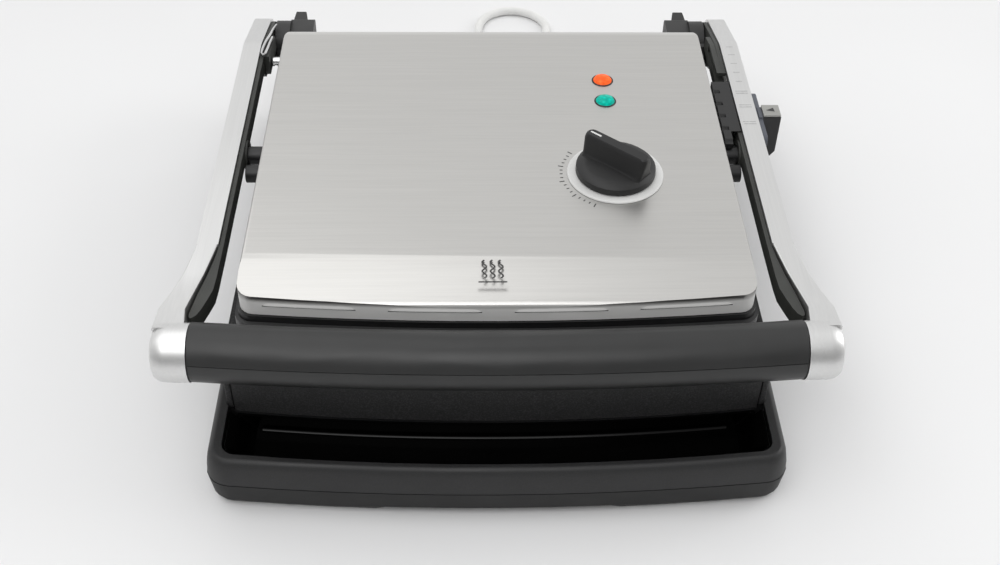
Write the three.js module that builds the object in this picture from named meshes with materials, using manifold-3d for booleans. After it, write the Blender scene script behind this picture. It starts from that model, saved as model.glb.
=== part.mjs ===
// A panini press (contact grill): a plinth with a drip trough, a hinged pair of arms with a grip,
// and a heated lid that hangs between the arms on its own pivots.
// Millimetres, +Z up, X to the right, -Y to the front. The origin is on the table under the middle.

import * as THREE from 'three';
import { mergeVertices } from 'three/addons/utils/BufferGeometryUtils.js';
import Module from 'manifold-3d';

const wasm = await Module();
wasm.setup();

// ---------------------------------------------------------------- driving dimensions

const GAP = 0.3; // left between pieces that touch
const RUNNING = 0.5; // left around pieces that move

// Overall; the plinth, the arms, the grip and the plates follow the lid's width and depth
const LID_WIDTH = 290;
const LID_DEPTH = 270.6;
const LID_FRONT_INSET = 64.4; // plinth front to the lid's steel front
const LID_REAR_INSET = 59; // lid's rear to the plinth's rear
const STAND_OVERHANG = 14; // rear stands behind the plinth
const PLINTH_MARGIN = 20.5; // plinth beyond the lid on each side
const PLINTH_CORNER = 15;
const FRONT_BOW = 9; // how far the middle of every front edge stands ahead of its ends
const WALL = 2.6; // moulded plastic

// Heights of the base
const FOOT_HEIGHT = 2.4;
const PARTING_Z = 20;
const RIM_Z = 37.6;
const BODY_TOP_Z = 71.6;
const RECESS_WIDTH = 128; // shallow finger recess under the plinth's front
const RECESS_HEIGHT = 3.8;
const RECESS_SLOPE = 9;

// Plates
const PLATE_THICKNESS = 3;
const RIB_PITCH = 13.2;
const RIB_WIDTH = 5;
const RIB_HEIGHT = 4.2;
const PLATE_MEETING_Z = 79.7;

// Drip tray
const TRAY_MARGIN = 10.7; // plinth beyond the tray on each side
const TRAY_SLOPE = 14; // how far each side wall leans in down to the floor
const TRAY_WALL = 1.5;
const TRAY_FLOOR_Z = 18;
const TRAY_TOP_Z = 35.6;
const TRAY_BACK_TOP_Z = 30.4;
const RIM_LEDGE = 8; // plinth front to the trough's mouth

// Lid
const LID_TOP_Z = 112;
const LID_SKIRT_Z = 93.4;
const LID_SKIN = 1.2;
const LID_CORNER = 9;
const LID_BOW = 7; // the lid's front edge is a little straighter than the others
const LID_NOSE_DROP = 6.4;
const LID_NOSE_LENGTH = 37;
const FRAME_BOTTOM_Z = 80.2;
const FRAME_STEP_Z = 88.5;
const FRAME_OVERHANG = 3.4;
const FRAME_RING = 14;

// Arms and grip
const ARM_CLEARANCE = 17.5; // lid's side to the arm
const ARM_WIDTH = 12.5;
const ARM_TOP_Z = 100;
const ARM_HEIGHT = 20;
const LINER_THICKNESS = 2.5;
const LINER_BOTTOM_Z = 87.5;
const CHEEK_THICKNESS = 3.7; // how much thicker the strip is beside the hinge
const GRIP_RADIUS = 16.5;
const GRIP_OVERLAP = 4.5; // grip's end beyond the arm's inner face
const GRIP_Z = 90;
const GRIP_PARTING_Z = 95;
const GRIP_INSET = 37.5; // plinth front back to the grip's middle
const GRIP_BOW = 7.5;
const CORE_RADIUS = 6.5;
const HANDLE_REACH = 25; // handle's end beyond the arm's inner face

// Hinge and pivots
const HINGE_Z = 72;
const HINGE_INSET = 25; // rear stands' tips forward to the hinge line
const HINGE_PIN_RADIUS = 5;
const KNUCKLE_RADIUS = 17;
const BARREL_RADIUS = 15.6;
const HOUSING_RISE = 11.6; // hinge line up to the housing's top
const PIVOT_Z = 86.6;
const PIVOT_RADIUS = 6;
const PIVOT_SHARE = 0.591; // how far back along the lid its pivots are
const PIVOT_COLLAR = 1; // how far the collar round it stands out of the liner
const STOP_SPACING = 19;

// Control and lamps
const KNOB_SIDE_INSET = 72; // lid's right side to the knob's axis
const KNOB_INSET = 108.6; // lid's front to the knob's axis
const KNOB_RADIUS = 24.4;
const KNOB_HEIGHT = 20.5;
const DIAL_RADIUS = 29.5;
const SHAFT_RADIUS = 3;
const LAMP_RADIUS = 6.2;
const LAMP_SPACING = 23.7;
const LAMP_INSET = 185; // lid's front to the nearer lamp

// Height slider, on the right arm
const SLIDER_BEHIND_PIVOT = 30.7;
const SLIDER_FORWARD = 6;
const RACK_AHEAD = 33; // slider's middle to the rack's front end
const RACK_BEHIND = 36; // slider's middle to the rack's rear end
const SLIDER_NECK_LENGTH = 14;
const SLIDER_NECK_HEIGHT = 4.4;
const SLIDER_BLOCK_DEPTH = 12;
const SLIDER_BLOCK_HEIGHT = 34;

// Cord
const CORD_RADIUS = 3.4;
const COIL_MIDDLE_RADIUS = 40.8;
const COIL_CENTRE = [-50.2, 241];

// ---------------------------------------------------------------- places worked out from them

const PLINTH_DEPTH = LID_FRONT_INSET + LID_DEPTH + LID_REAR_INSET;
const DEPTH = PLINTH_DEPTH + STAND_OVERHANG;
const FRONT_Y = -DEPTH / 2;
const PLINTH_REAR_Y = FRONT_Y + PLINTH_DEPTH;
const PLINTH_HALF = LID_WIDTH / 2 + PLINTH_MARGIN;
const TRAY_HALF = PLINTH_HALF - TRAY_MARGIN;
const TRAY_FRONT_Y = FRONT_Y + RIM_LEDGE + RUNNING;

const APRON_FRONT_Y = FRONT_Y + 45;
const APRON_HALF = PLINTH_HALF - 13.2;
const APRON_THICKNESS = 3;
const APRON_BOTTOM_Z = TRAY_BACK_TOP_Z + 0.6;
const BODY_FRONT_Y = APRON_FRONT_Y + APRON_THICKNESS + GAP;
const BODY_HALF = APRON_HALF;
const BODY_REAR_Y = PLINTH_REAR_Y - 42;
const PANEL_THICKNESS = 3.4;

const LID_FRONT_Y = FRONT_Y + LID_FRONT_INSET;
const LID_REAR_Y = LID_FRONT_Y + LID_DEPTH;
const FRAME_FRONT_Y = LID_FRONT_Y - FRAME_OVERHANG;
const FRAME_REAR_Y = LID_REAR_Y + FRAME_OVERHANG;
const FRAME_HALF = LID_WIDTH / 2 + FRAME_OVERHANG;

const HINGE_Y = DEPTH / 2 - HINGE_INSET;
const PIVOT_Y = LID_FRONT_Y + LID_DEPTH * PIVOT_SHARE;
const STOP_Y = PIVOT_Y - STOP_SPACING;
const GRIP_Y = FRONT_Y + GRIP_INSET;
const GRIP_END_Y = GRIP_Y + GRIP_BOW;
const GRIP_BACK_Y = GRIP_END_Y + GRIP_RADIUS;

const ARM_INNER_X = LID_WIDTH / 2 + ARM_CLEARANCE;
const ARM_OUTER_X = ARM_INNER_X + ARM_WIDTH;
const GRIP_HALF = ARM_INNER_X + GRIP_OVERLAP;
const HANDLE_HALF = ARM_INNER_X + HANDLE_REACH;
const ARM_BOTTOM_Z = ARM_TOP_Z - ARM_HEIGHT;
const ARM_BEND_Y = HINGE_Y - 44;
const ARM_FLARE_Y = GRIP_BACK_Y + 61.5;
const LINER_OUTER_X = ARM_INNER_X - GAP;
const LINER_INNER_X = LINER_OUTER_X - LINER_THICKNESS;
const TOWER_OUTER_X = LINER_INNER_X - 1.2;
const TOWER_INNER_X = TOWER_OUTER_X - 27;
const TOWER_BLOCK_X = FRAME_HALF + 0.6; // the rear block stays inside the slider's path

const SLIDER_Y = PIVOT_Y + SLIDER_BEHIND_PIVOT;
const SLIDER_REARWARD = LID_REAR_Y - SLIDER_Y;
const RACK_CHEEK_Y = SLIDER_Y + RACK_BEHIND + 12;
const STRAP_TOP_Z = ARM_BOTTOM_Z + 4.2;
const SLIDER_NECK_Z = ARM_TOP_Z - 9.5;
const KNOB_X = LID_WIDTH / 2 - KNOB_SIDE_INSET;
const KNOB_Y = LID_FRONT_Y + KNOB_INSET;
const LAMP_Y = LID_FRONT_Y + LAMP_INSET;

const LOWER_FRONT_Y = APRON_FRONT_Y + 6;
const LOWER_REAR_Y = BODY_REAR_Y - 6;
const LOWER_HALF = LID_WIDTH / 2 + 2;
const UPPER_HALF = FRAME_HALF - FRAME_RING;
const UPPER_FRONT_Y = FRAME_FRONT_Y + FRAME_RING + 0.6;
const UPPER_REAR_Y = FRAME_REAR_Y - FRAME_RING - 0.6;
const RIB_COUNT = 2 * Math.floor((UPPER_HALF - 15) / RIB_PITCH) + 1;

// ---------------------------------------------------------------- finishes

const finish = (color, roughness, metalness = 0) => () =>
  new THREE.MeshStandardMaterial({ color, roughness, metalness });

const blackPlastic = finish(0x2c2d2e, 0.6);
const texturedBlack = finish(0x242526, 0.8);
const glossBlack = finish(0x0b0b0c, 0.15);
const castBlack = finish(0x1c1c1d, 0.55, 0.2);
const greyPlastic = finish(0x5d5f60, 0.6);
const softGrip = finish(0x37393a, 0.65);
const brushedSteel = finish(0xc9c6c1, 0.38, 1);
const satinAluminium = finish(0xdededc, 0.34, 1);
const brightSteel = finish(0xd5d5d5, 0.2, 1);
const tinPlate = finish(0xb4b6b8, 0.4, 1);
const blackRubber = finish(0x1a1a1a, 0.9);
const whiteDial = finish(0xe4e4e2, 0.4);
const redLens = finish(0xe8401c, 0.15);
const greenLens = finish(0x169a7c, 0.15);
const cordGrey = finish(0xc9cac8, 0.55);
const brassPin = finish(0xc0a35a, 0.3, 1);

// ---------------------------------------------------------------- solids

function solid(geometry) {
  const bare = geometry.clone();
  bare.deleteAttribute('normal');
  bare.deleteAttribute('uv');
  const merged = mergeVertices(bare, 1e-4);
  return new wasm.Manifold(
    new wasm.Mesh({
      numProp: 3,
      vertProperties: new Float32Array(merged.attributes.position.array),
      triVerts: new Uint32Array(merged.index.array),
    }),
  );
}

function geometryOf(body) {
  const mesh = body.getMesh();
  const geometry = new THREE.BufferGeometry();
  geometry.setAttribute('position', new THREE.BufferAttribute(new Float32Array(mesh.vertProperties), 3));
  geometry.setIndex(new THREE.BufferAttribute(new Uint32Array(mesh.triVerts), 1));
  geometry.computeVertexNormals();
  return geometry;
}

const joined = (bodies) => bodies.reduce((whole, body) => whole.add(body));
const without = (whole, cuts) => cuts.reduce((left, cut) => left.subtract(cut), whole);

function extruded(points, depth, axes) {
  const shape = new THREE.Shape(points.map(([a, b]) => new THREE.Vector2(a, b)));
  const geometry = new THREE.ExtrudeGeometry(shape, { depth, bevelEnabled: false, steps: 1 });
  geometry.applyMatrix4(axes);
  return solid(geometry);
}

// A plan outline raised from z0 to z1.
const prism = (points, z0, z1) => extruded(points, z1 - z0, new THREE.Matrix4().makeTranslation(0, 0, z0));

// A side view, given as (y, z) points, made as wide as x0 to x1.
function prismX(points, x0, x1) {
  const turn = new THREE.Matrix4().makeBasis(
    new THREE.Vector3(0, 1, 0),
    new THREE.Vector3(0, 0, 1),
    new THREE.Vector3(1, 0, 0),
  );
  return extruded(points, x1 - x0, turn.premultiply(new THREE.Matrix4().makeTranslation(x0, 0, 0)));
}

// A front view, given as (x, z) points, made as deep as y0 to y1.
function prismY(points, y0, y1) {
  const turn = new THREE.Matrix4().makeBasis(
    new THREE.Vector3(1, 0, 0),
    new THREE.Vector3(0, 0, 1),
    new THREE.Vector3(0, -1, 0),
  );
  return extruded(points, y1 - y0, turn.premultiply(new THREE.Matrix4().makeTranslation(0, y1, 0)));
}

function block(x0, x1, y0, y1, z0, z1) {
  const geometry = new THREE.BoxGeometry(x1 - x0, y1 - y0, z1 - z0);
  geometry.translate((x0 + x1) / 2, (y0 + y1) / 2, (z0 + z1) / 2);
  return solid(geometry);
}

function rodX(radius, x0, x1, y, z, sides = 24) {
  const geometry = new THREE.CylinderGeometry(radius, radius, x1 - x0, sides);
  geometry.rotateZ(-Math.PI / 2);
  geometry.translate((x0 + x1) / 2, y, z);
  return solid(geometry);
}

function rodZ(radius, z0, z1, x, y, sides = 24) {
  const geometry = new THREE.CylinderGeometry(radius, radius, z1 - z0, sides);
  geometry.rotateX(Math.PI / 2);
  geometry.translate(x, y, (z0 + z1) / 2);
  return solid(geometry);
}

// A profile of (radius, height) points turned about a vertical line.
function turned(profile, x, y, sides = 32) {
  const geometry = new THREE.LatheGeometry(profile.map(([r, z]) => new THREE.Vector2(r, z)), sides);
  geometry.rotateX(Math.PI / 2);
  geometry.translate(x, y, 0);
  return solid(geometry);
}

// A skin over rings of points that match one for one, closed at both ends.
function loft(rings) {
  const size = rings[0].length;
  const points = rings.flat();
  const triangles = [];
  const middle = (ring) => ring.reduce((sum, p) => sum.add(p), new THREE.Vector3()).divideScalar(size);
  for (let level = 0; level + 1 < rings.length; level += 1) {
    for (let i = 0; i < size; i += 1) {
      const a = level * size + i;
      const b = level * size + ((i + 1) % size);
      triangles.push(a, b, b + size, a, b + size, a + size);
    }
  }
  const last = (rings.length - 1) * size;
  points.push(middle(rings[0]), middle(rings.at(-1)));
  for (let i = 0; i < size; i += 1) {
    const next = (i + 1) % size;
    triangles.push(points.length - 2, next, i, points.length - 1, last + i, last + next);
  }
  const geometry = new THREE.BufferGeometry().setFromPoints(points);
  geometry.setIndex(triangles);
  return solid(geometry);
}

// A tube of the given radius along a smooth curve through the points.
function tube(points, radius, sides, steps) {
  const curve = new THREE.CatmullRomCurve3(points.map((p) => new THREE.Vector3(...p)), false, 'centripetal');
  const section = new THREE.Shape();
  section.absarc(0, 0, radius, 0, Math.PI * 2, false);
  const geometry = new THREE.ExtrudeGeometry(section, {
    steps,
    curveSegments: sides / 2,
    bevelEnabled: false,
    extrudePath: curve,
  });
  return solid(geometry);
}

function arc(cx, cy, radius, from, to, steps) {
  const points = [];
  for (let i = 0; i <= steps; i += 1) {
    const angle = THREE.MathUtils.degToRad(from + ((to - from) * i) / steps);
    points.push([cx + radius * Math.cos(angle), cy + radius * Math.sin(angle)]);
  }
  return points;
}

const roundedRect = (x0, x1, y0, y1, r, steps = 5) => [
  ...arc(x1 - r, y0 + r, r, -90, 0, steps),
  ...arc(x1 - r, y1 - r, r, 0, 90, steps),
  ...arc(x0 + r, y1 - r, r, 90, 180, steps),
  ...arc(x0 + r, y0 + r, r, 180, 270, steps),
];

// The front edge of every front piece: foremost in the middle, set back by the bow at its ends.
function bowedLine(half, frontY, bow, steps = 10) {
  const points = [];
  for (let i = 0; i <= steps; i += 1) {
    const x = -half + (2 * half * i) / steps;
    points.push([x, frontY + bow * (x / half) ** 2]);
  }
  return points;
}

// A plan outline with a bowed front and rounded corners, counter-clockwise from the left front.
function bowedOutline(half, frontY, rearY, corner, rearCorner = corner, bow = FRONT_BOW) {
  const reach = half - corner;
  const cornerY = frontY + bow * (reach / half) ** 2 + corner;
  const lean = THREE.MathUtils.radToDeg(Math.atan((2 * bow * reach) / half ** 2));
  const front = [];
  for (let i = 1; i < 10; i += 1) {
    const x = -reach + (2 * reach * i) / 10;
    front.push([x, frontY + bow * (x / half) ** 2]);
  }
  return [
    ...front,
    ...arc(reach, cornerY, corner, lean - 90, 0, 5),
    ...arc(half - rearCorner, rearY - rearCorner, rearCorner, 0, 90, 4),
    ...arc(-half + rearCorner, rearY - rearCorner, rearCorner, 90, 180, 4),
    ...arc(-reach, cornerY, corner, 180, 270 - lean, 5),
  ];
}

const ringAt = (outline, z) => outline.map(([x, y]) => new THREE.Vector3(x, y, z));
const mirrored = (body) => body.mirror([1, 0, 0]);

// ---------------------------------------------------------------- base

// The plinth's outline at a given inset from its widest line.
const plinthOutline = (inset) =>
  bowedOutline(PLINTH_HALF - inset, FRONT_Y + inset, PLINTH_REAR_Y - inset, PLINTH_CORNER - inset);

const trayMouth = (spare) =>
  bowedOutline(TRAY_HALF + spare, TRAY_FRONT_Y - spare, TRAY_FRONT_Y + 90, 8 + spare);

// Everything ahead of the apron's face, so that pieces of the trough end along its bow.
function aheadOfApron(setback, z0, z1) {
  const half = APRON_HALF + 14;
  const face = bowedLine(half, APRON_FRONT_Y - setback, FRONT_BOW * (half / APRON_HALF) ** 2);
  return prism([...face, [half, FRONT_Y - 20], [-half, FRONT_Y - 20]].reverse(), z0, z1);
}

const bodyOutline = (inset) =>
  bowedOutline(BODY_HALF - inset, BODY_FRONT_Y + inset, BODY_REAR_Y - inset, 3, 12 - inset);

function baseShell() {
  const plinth = loft([
    ringAt(plinthOutline(0.3), PARTING_Z + GAP),
    ringAt(plinthOutline(0.9), PARTING_Z + 7),
    ringAt(plinthOutline(2), RIM_Z - 5),
    ringAt(plinthOutline(3.2), RIM_Z - 2.2),
    ringAt(plinthOutline(4.6), RIM_Z - 0.7),
    ringAt(plinthOutline(6.2), RIM_Z),
  ]);
  const plinthHollow = loft([
    ringAt(plinthOutline(0.4 + WALL), PARTING_Z - 4),
    ringAt(plinthOutline(4 + WALL), RIM_Z - WALL),
  ]);
  const bodyWall = prism(bodyOutline(0), RIM_Z - WALL - 1, BODY_TOP_Z);
  const bodyHollow = prism(bodyOutline(WALL), PARTING_Z - 4, BODY_TOP_Z + 5);
  const pocketDepth = TRAY_FLOOR_Z - RUNNING;
  const pocketWall = prism(trayMouth(RUNNING + 2), pocketDepth - 2, RIM_Z - 1.5)
    .intersect(aheadOfApron(-3, 0, RIM_Z));
  const pocket = prism(trayMouth(RUNNING), pocketDepth, RIM_Z + 5).intersect(aheadOfApron(0.2, 0, RIM_Z + 5));
  const shell = without(plinth.add(bodyWall), [plinthHollow, bodyHollow]).add(pocketWall);
  const panelSlots = [-1, 1].map((side) => sidePanelBlank(side, GAP));
  return without(shell, [pocket, apronBlank(GAP), ...panelSlots, cordExit(CORD_RADIUS + 3.4)]);
}

function baseCover() {
  const bottom = FOOT_HEIGHT;
  const outer = loft([
    ringAt(plinthOutline(3.5), bottom),
    ringAt(plinthOutline(1.6), bottom + 4),
    ringAt(plinthOutline(0), PARTING_Z),
  ]);
  const hollow = loft([
    ringAt(plinthOutline(3.5 + WALL), bottom + WALL),
    ringAt(plinthOutline(WALL + 0.2), PARTING_Z + 1),
  ]);
  const recess = recessBlank(0);
  const recessFloor = recessBlank(WALL).intersect(outer);
  const trough = prism(trayMouth(RUNNING + 2 + GAP), TRAY_FLOOR_Z - RUNNING - 2 - GAP, PARTING_Z + 2);
  const footHoles = footPlaces().map(([x, y]) => rodZ(3 + GAP, 0, bottom + 8, x, y, 12));
  return without(outer.subtract(hollow).add(recessFloor.subtract(trough)), [recess, ...footHoles]);
}

// The shallow space under the front edge, with sloping ends.
function recessBlank(spare) {
  const half = RECESS_WIDTH / 2 + spare;
  const top = FOOT_HEIGHT + RECESS_HEIGHT + spare;
  const profile = [[-half - RECESS_SLOPE, 0], [half + RECESS_SLOPE, 0], [half, top], [-half, top]];
  return prismY(profile, FRONT_Y - 5, FRONT_Y + 60 + spare);
}

const footPlaces = () => {
  const x = PLINTH_HALF - 34;
  const front = FRONT_Y + 44;
  const rear = PLINTH_REAR_Y - 34;
  return [[-x, front], [x, front], [-x, rear], [x, rear]];
};

function rubberFoot([x, y]) {
  const shoulder = FOOT_HEIGHT - GAP;
  const stemTop = FOOT_HEIGHT + 6;
  const profile = [[0, 0], [8.4, 0], [9, 0.8], [9, shoulder], [3, shoulder], [3, stemTop], [0, stemTop]];
  return turned(profile, x, y, 20);
}

// The front panel; the shell is cut by the same blank grown by the gap.
function apronBlank(spare) {
  const half = APRON_HALF + spare;
  const front = bowedLine(half, APRON_FRONT_Y - spare, FRONT_BOW);
  const back = bowedLine(half, APRON_FRONT_Y + APRON_THICKNESS + spare, FRONT_BOW).reverse();
  return prism([...front, ...back], APRON_BOTTOM_Z - spare, BODY_TOP_Z - GAP + 2 * spare);
}

// Side cover plates with rounded front feet; the shell is cut by the same blank grown by the gap.
function sidePanelBlank(side, spare) {
  const y0 = APRON_FRONT_Y + FRONT_BOW - 0.6 - spare;
  const y1 = BODY_REAR_Y - 20 + spare;
  const z0 = APRON_BOTTOM_Z - spare;
  const profile = [
    ...arc(y0 + 6, z0 + 6, 6, 180, 270, 4),
    [y1, z0],
    [y1, BODY_TOP_Z - 9],
    [y0, BODY_TOP_Z - 1.5],
  ];
  const inner = BODY_HALF + GAP - spare;
  const panel = prismX(profile, inner, BODY_HALF + GAP + PANEL_THICKNESS + spare);
  return side > 0 ? panel : mirrored(panel);
}

const trayOutline = (half, front, corner, bow) =>
  bowedOutline(half, TRAY_FRONT_Y + front, TRAY_FRONT_Y + 90, corner, corner, bow);

function dripTray() {
  const floorHalf = TRAY_HALF - TRAY_SLOPE;
  const outer = loft([
    ringAt(trayOutline(floorHalf + 1, 4, 8, FRONT_BOW - 1), TRAY_FLOOR_Z),
    ringAt(trayOutline(TRAY_HALF, 0, 8, FRONT_BOW), TRAY_TOP_Z),
  ]).intersect(aheadOfApron(RUNNING + 0.2, 0, RIM_Z));
  const inner = loft([
    ringAt(trayOutline(floorHalf - 0.5, 4 + TRAY_WALL, 6.5, FRONT_BOW - 1), TRAY_FLOOR_Z + TRAY_WALL),
    ringAt(trayOutline(TRAY_HALF - TRAY_WALL + 0.5, TRAY_WALL, 6.5, FRONT_BOW), TRAY_TOP_Z + 0.5),
  ]).intersect(aheadOfApron(RUNNING + 0.2 + TRAY_WALL, 0, RIM_Z + 5));
  const backCut = aheadOfApron(0, TRAY_BACK_TOP_Z, RIM_Z).subtract(aheadOfApron(5, 0, RIM_Z + 1));
  return without(outer, [inner, backCut]);
}

function plate(halfWidth, frontY, rearY, z, ribsUp) {
  const outline = bowedOutline(halfWidth, frontY, rearY, 12);
  const z0 = ribsUp ? z - RIB_HEIGHT - PLATE_THICKNESS : z + RIB_HEIGHT;
  const slab = prism(outline, z0, z0 + PLATE_THICKNESS);
  const foot = ribsUp ? z0 + PLATE_THICKNESS - 0.5 : z0 + 0.5;
  const ribs = [];
  for (let i = 0; i < RIB_COUNT; i += 1) {
    const x = (i - (RIB_COUNT - 1) / 2) * RIB_PITCH;
    const half = RIB_WIDTH / 2;
    const profile = [[x - half, foot], [x + half, foot], [x + half - 1.2, z], [x - half + 1.2, z]];
    ribs.push(prismY(ribsUp ? profile : profile.reverse(), frontY + 26, rearY - 12));
  }
  return joined([slab, ...ribs]);
}

const lowerPlate = () => plate(LOWER_HALF, LOWER_FRONT_Y, LOWER_REAR_Y, PLATE_MEETING_Z - GAP, true);
const upperPlate = () => plate(UPPER_HALF - 0.6, UPPER_FRONT_Y, UPPER_REAR_Y, PLATE_MEETING_Z + GAP, false);

function heaterTube(z, frontY, rearY) {
  const run = UPPER_HALF - 50;
  const turn = 30;
  const front = frontY + 30;
  const rear = rearY - 26;
  const path = [
    [-run, rear, z],
    [-run, (rear + front) / 2, z],
    [-run, front + turn, z],
    [-run + turn * 0.3, front + turn * 0.3, z],
    [-run + turn, front, z],
    [0, front, z],
    [run - turn, front, z],
    [run - turn * 0.3, front + turn * 0.3, z],
    [run, front + turn, z],
    [run, (rear + front) / 2, z],
    [run, rear, z],
  ];
  return tube(path, 3.2, 8, 30);
}

function reflector(half, frontY, rearY, z, height) {
  const outer = prism(roundedRect(-half, half, frontY, rearY, 8, 3), z, z + height);
  const inner = prism(roundedRect(-half + 1, half - 1, frontY + 1, rearY - 1, 7, 3), z + 1, z + height + 1);
  return outer.subtract(inner);
}

const lowerReflector = () =>
  reflector(BODY_HALF - 12, BODY_FRONT_Y + 22, BODY_REAR_Y - 16, BODY_TOP_Z - 16, 6);
const upperReflector = () =>
  reflector(UPPER_HALF - 8, UPPER_FRONT_Y + 14, UPPER_REAR_Y - 8, LID_SKIRT_Z + 2.4, 2.6);

function hingeTower() {
  const rearFace = HINGE_Y + BARREL_RADIUS;
  const below = RIM_Z + GAP;
  const barrel = [
    ...arc(HINGE_Y, HINGE_Z, BARREL_RADIUS, -10, 190, 14),
    [HINGE_Y - BARREL_RADIUS - 1.4, below],
    [HINGE_Y + 9, below],
  ];
  const housing = [
    [HINGE_Y - BARREL_RADIUS - 2, HINGE_Z + HOUSING_RISE - 5],
    [HINGE_Y - BARREL_RADIUS - 2.4, below],
    [HINGE_Y + 9, below],
    [rearFace, HINGE_Z - 18],
    [rearFace, HINGE_Z + HOUSING_RISE - 4],
    [rearFace - 1.2, HINGE_Z + HOUSING_RISE - 1.2],
    [rearFace - 4, HINGE_Z + HOUSING_RISE],
    [HINGE_Y - BARREL_RADIUS + 1, HINGE_Z + HOUSING_RISE],
  ];
  const tower = prismX(barrel, TOWER_BLOCK_X - 1, TOWER_OUTER_X).add(
    prismX([...housing].reverse(), TOWER_INNER_X, TOWER_BLOCK_X),
  );
  const boreStart = hingePinInner() - RUNNING;
  return tower.subtract(rodX(HINGE_PIN_RADIUS + RUNNING, boreStart, TOWER_OUTER_X + 1, HINGE_Y, HINGE_Z));
}

const hingePinInner = () => TOWER_INNER_X + 8;
const hingePinOuter = () => ARM_OUTER_X - 3;
const hingePin = () => rodX(HINGE_PIN_RADIUS, hingePinInner(), hingePinOuter(), HINGE_Y, HINGE_Z);

// A stub behind each hinge housing; the closed press can stand upright on the pair.
function rearStand() {
  const x = (TOWER_INNER_X + TOWER_BLOCK_X) / 2 + 2.4;
  const y0 = HINGE_Y + BARREL_RADIUS + GAP;
  const ring = (half, z0, z1, y) =>
    [[-half, z0], [-half, z1], [half, z1], [half, z0]].map(([dx, z]) => new THREE.Vector3(x + dx, y, z));
  const root = ring(5.5, HINGE_Z, HINGE_Z + 8.6, y0);
  const tip = ring(3.8, HINGE_Z + 2, HINGE_Z + 11, DEPTH / 2);
  return loft([root, tip]);
}

// The post under the right arm that the height slider's steps come down on.
function heightPost() {
  const rear = HINGE_Y - BARREL_RADIUS - 1.4 - 2 * GAP;
  const top = PIVOT_Z - 4.2;
  const post = block(BODY_HALF + 2 * GAP, TOWER_OUTER_X, rear - 5, rear, RIM_Z + GAP, top);
  return post.subtract(sidePanelBlank(1, GAP));
}

function cordExit(radius) {
  const geometry = new THREE.CylinderGeometry(radius, radius, 30, 16);
  geometry.translate(CORD_START[0], PLINTH_REAR_Y - 8, CORD_START[2]);
  return solid(geometry);
}

function strainRelief() {
  const [x, y, z] = CORD_START;
  const profile = [
    [0, -12],
    [6, -12],
    [6, GAP - 1],
    [7.4, GAP - 1],
    [7.4, 5],
    [CORD_RADIUS + 0.8, 34],
    [0, 34],
  ];
  const geometry = new THREE.LatheGeometry(profile.map(([r, h]) => new THREE.Vector2(r, h)), 20);
  geometry.translate(x, y - 34 - GAP, z);
  return solid(geometry);
}

// ---------------------------------------------------------------- cord

// Where the cord leaves the strain relief.
const CORD_START = [20, PLINTH_REAR_Y + 36, 29];

// The route from the strain relief, down to the table and round its loop, to the coil.
const CORD_ROUTE = [
  CORD_START,
  [20, 230, 28.9],
  [20.8, 237.5, 27.2],
  [24.5, 249, 21.5],
  [30, 261, 14],
  [36.5, 273, 7.4],
  [43, 284, 4],
  [48, 294, 3.45],
  [50.4, 304, 3.45],
  [49.6, 314.5, 3.45],
  [45, 324.3, 3.45],
  [37.4, 331.9, 3.45],
  [27.6, 336.4, 3.45],
  [16.9, 337, 3.45],
  [6.8, 333.6, 3.45],
  [-1.4, 326.6, 3.45],
  [-6.2, 317, 3.45],
  [-8.2, 305, 3.45],
  [-8.6, 290, 3.45],
  [-7.8, 272, 3.45],
  [-6, 246, 3.45],
];

// The end of the cord, from the top of the coil to the plug.
const TAIL_ROUTE = [
  [-72.3, 202.7, 10.3],
  [-78.6, 206.4, 10.3],
  [-86, 210.8, 10.2],
  [-93, 215, 9.9],
  [-99.6, 218.8, 9.7],
];

const coilOutline = (spare) => {
  const inner = COIL_MIDDLE_RADIUS - 2 * CORD_RADIUS - 0.2 - spare;
  const outer = COIL_MIDDLE_RADIUS + 2 * CORD_RADIUS + 0.2 + spare;
  const top = 4 * CORD_RADIUS + 0.4 + spare;
  return [[inner, -spare], [outer, -spare], [outer, top], [inner, top], [inner, -spare]];
};

const coil = (spare = 0) => turned(coilOutline(spare), ...COIL_CENTRE, 48);

const cord = () => tube(CORD_ROUTE, CORD_RADIUS, 10, 40).subtract(coil(GAP));
const cordTail = () => tube(TAIL_ROUTE, CORD_RADIUS, 10, 8).subtract(coil(GAP));

// The plug lies on its back beside the coil, in line with the cord's end.
const PLUG_TURN = Math.PI * (5 / 6);
const PLUG_LENGTH = 44;
const PLUG_THICKNESS = 19;

function onPlug(body) {
  const [x, y] = TAIL_ROUTE.at(-1);
  const turn = THREE.MathUtils.radToDeg(PLUG_TURN);
  const shift = [x + GAP * Math.cos(PLUG_TURN), y + GAP * Math.sin(PLUG_TURN), 0];
  return body.rotate([0, 0, turn]).translate(shift);
}

function plugBody() {
  const wide = 24;
  const outline = [
    [0, -6],
    [8, -9],
    [14, -wide],
    [PLUG_LENGTH - 8, -wide + 1],
    [PLUG_LENGTH, -wide + 9],
    [PLUG_LENGTH, wide - 9],
    [PLUG_LENGTH - 8, wide - 1],
    [14, wide],
    [8, 9],
    [0, 6],
  ];
  const holes = plugPinPlaces().map(([x, y, a, b]) =>
    block(x - a - GAP, x + a + GAP, y - b - GAP, y + b + GAP, PLUG_THICKNESS - 6, PLUG_THICKNESS + 1));
  return onPlug(without(prism(outline, 0, PLUG_THICKNESS), holes));
}

// Middle, half length, half width and reach of the earth pin and the two power pins.
const plugPinPlaces = () => [[36, 0, 4, 2, 22], [14.5, -11, 2, 3.2, 17], [14.5, 11, 2, 3.2, 17]];

const plugPin = ([x, y, a, b, reach]) =>
  onPlug(block(x - a, x + a, y - b, y + b, PLUG_THICKNESS - 6 + GAP, PLUG_THICKNESS + reach));

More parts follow.
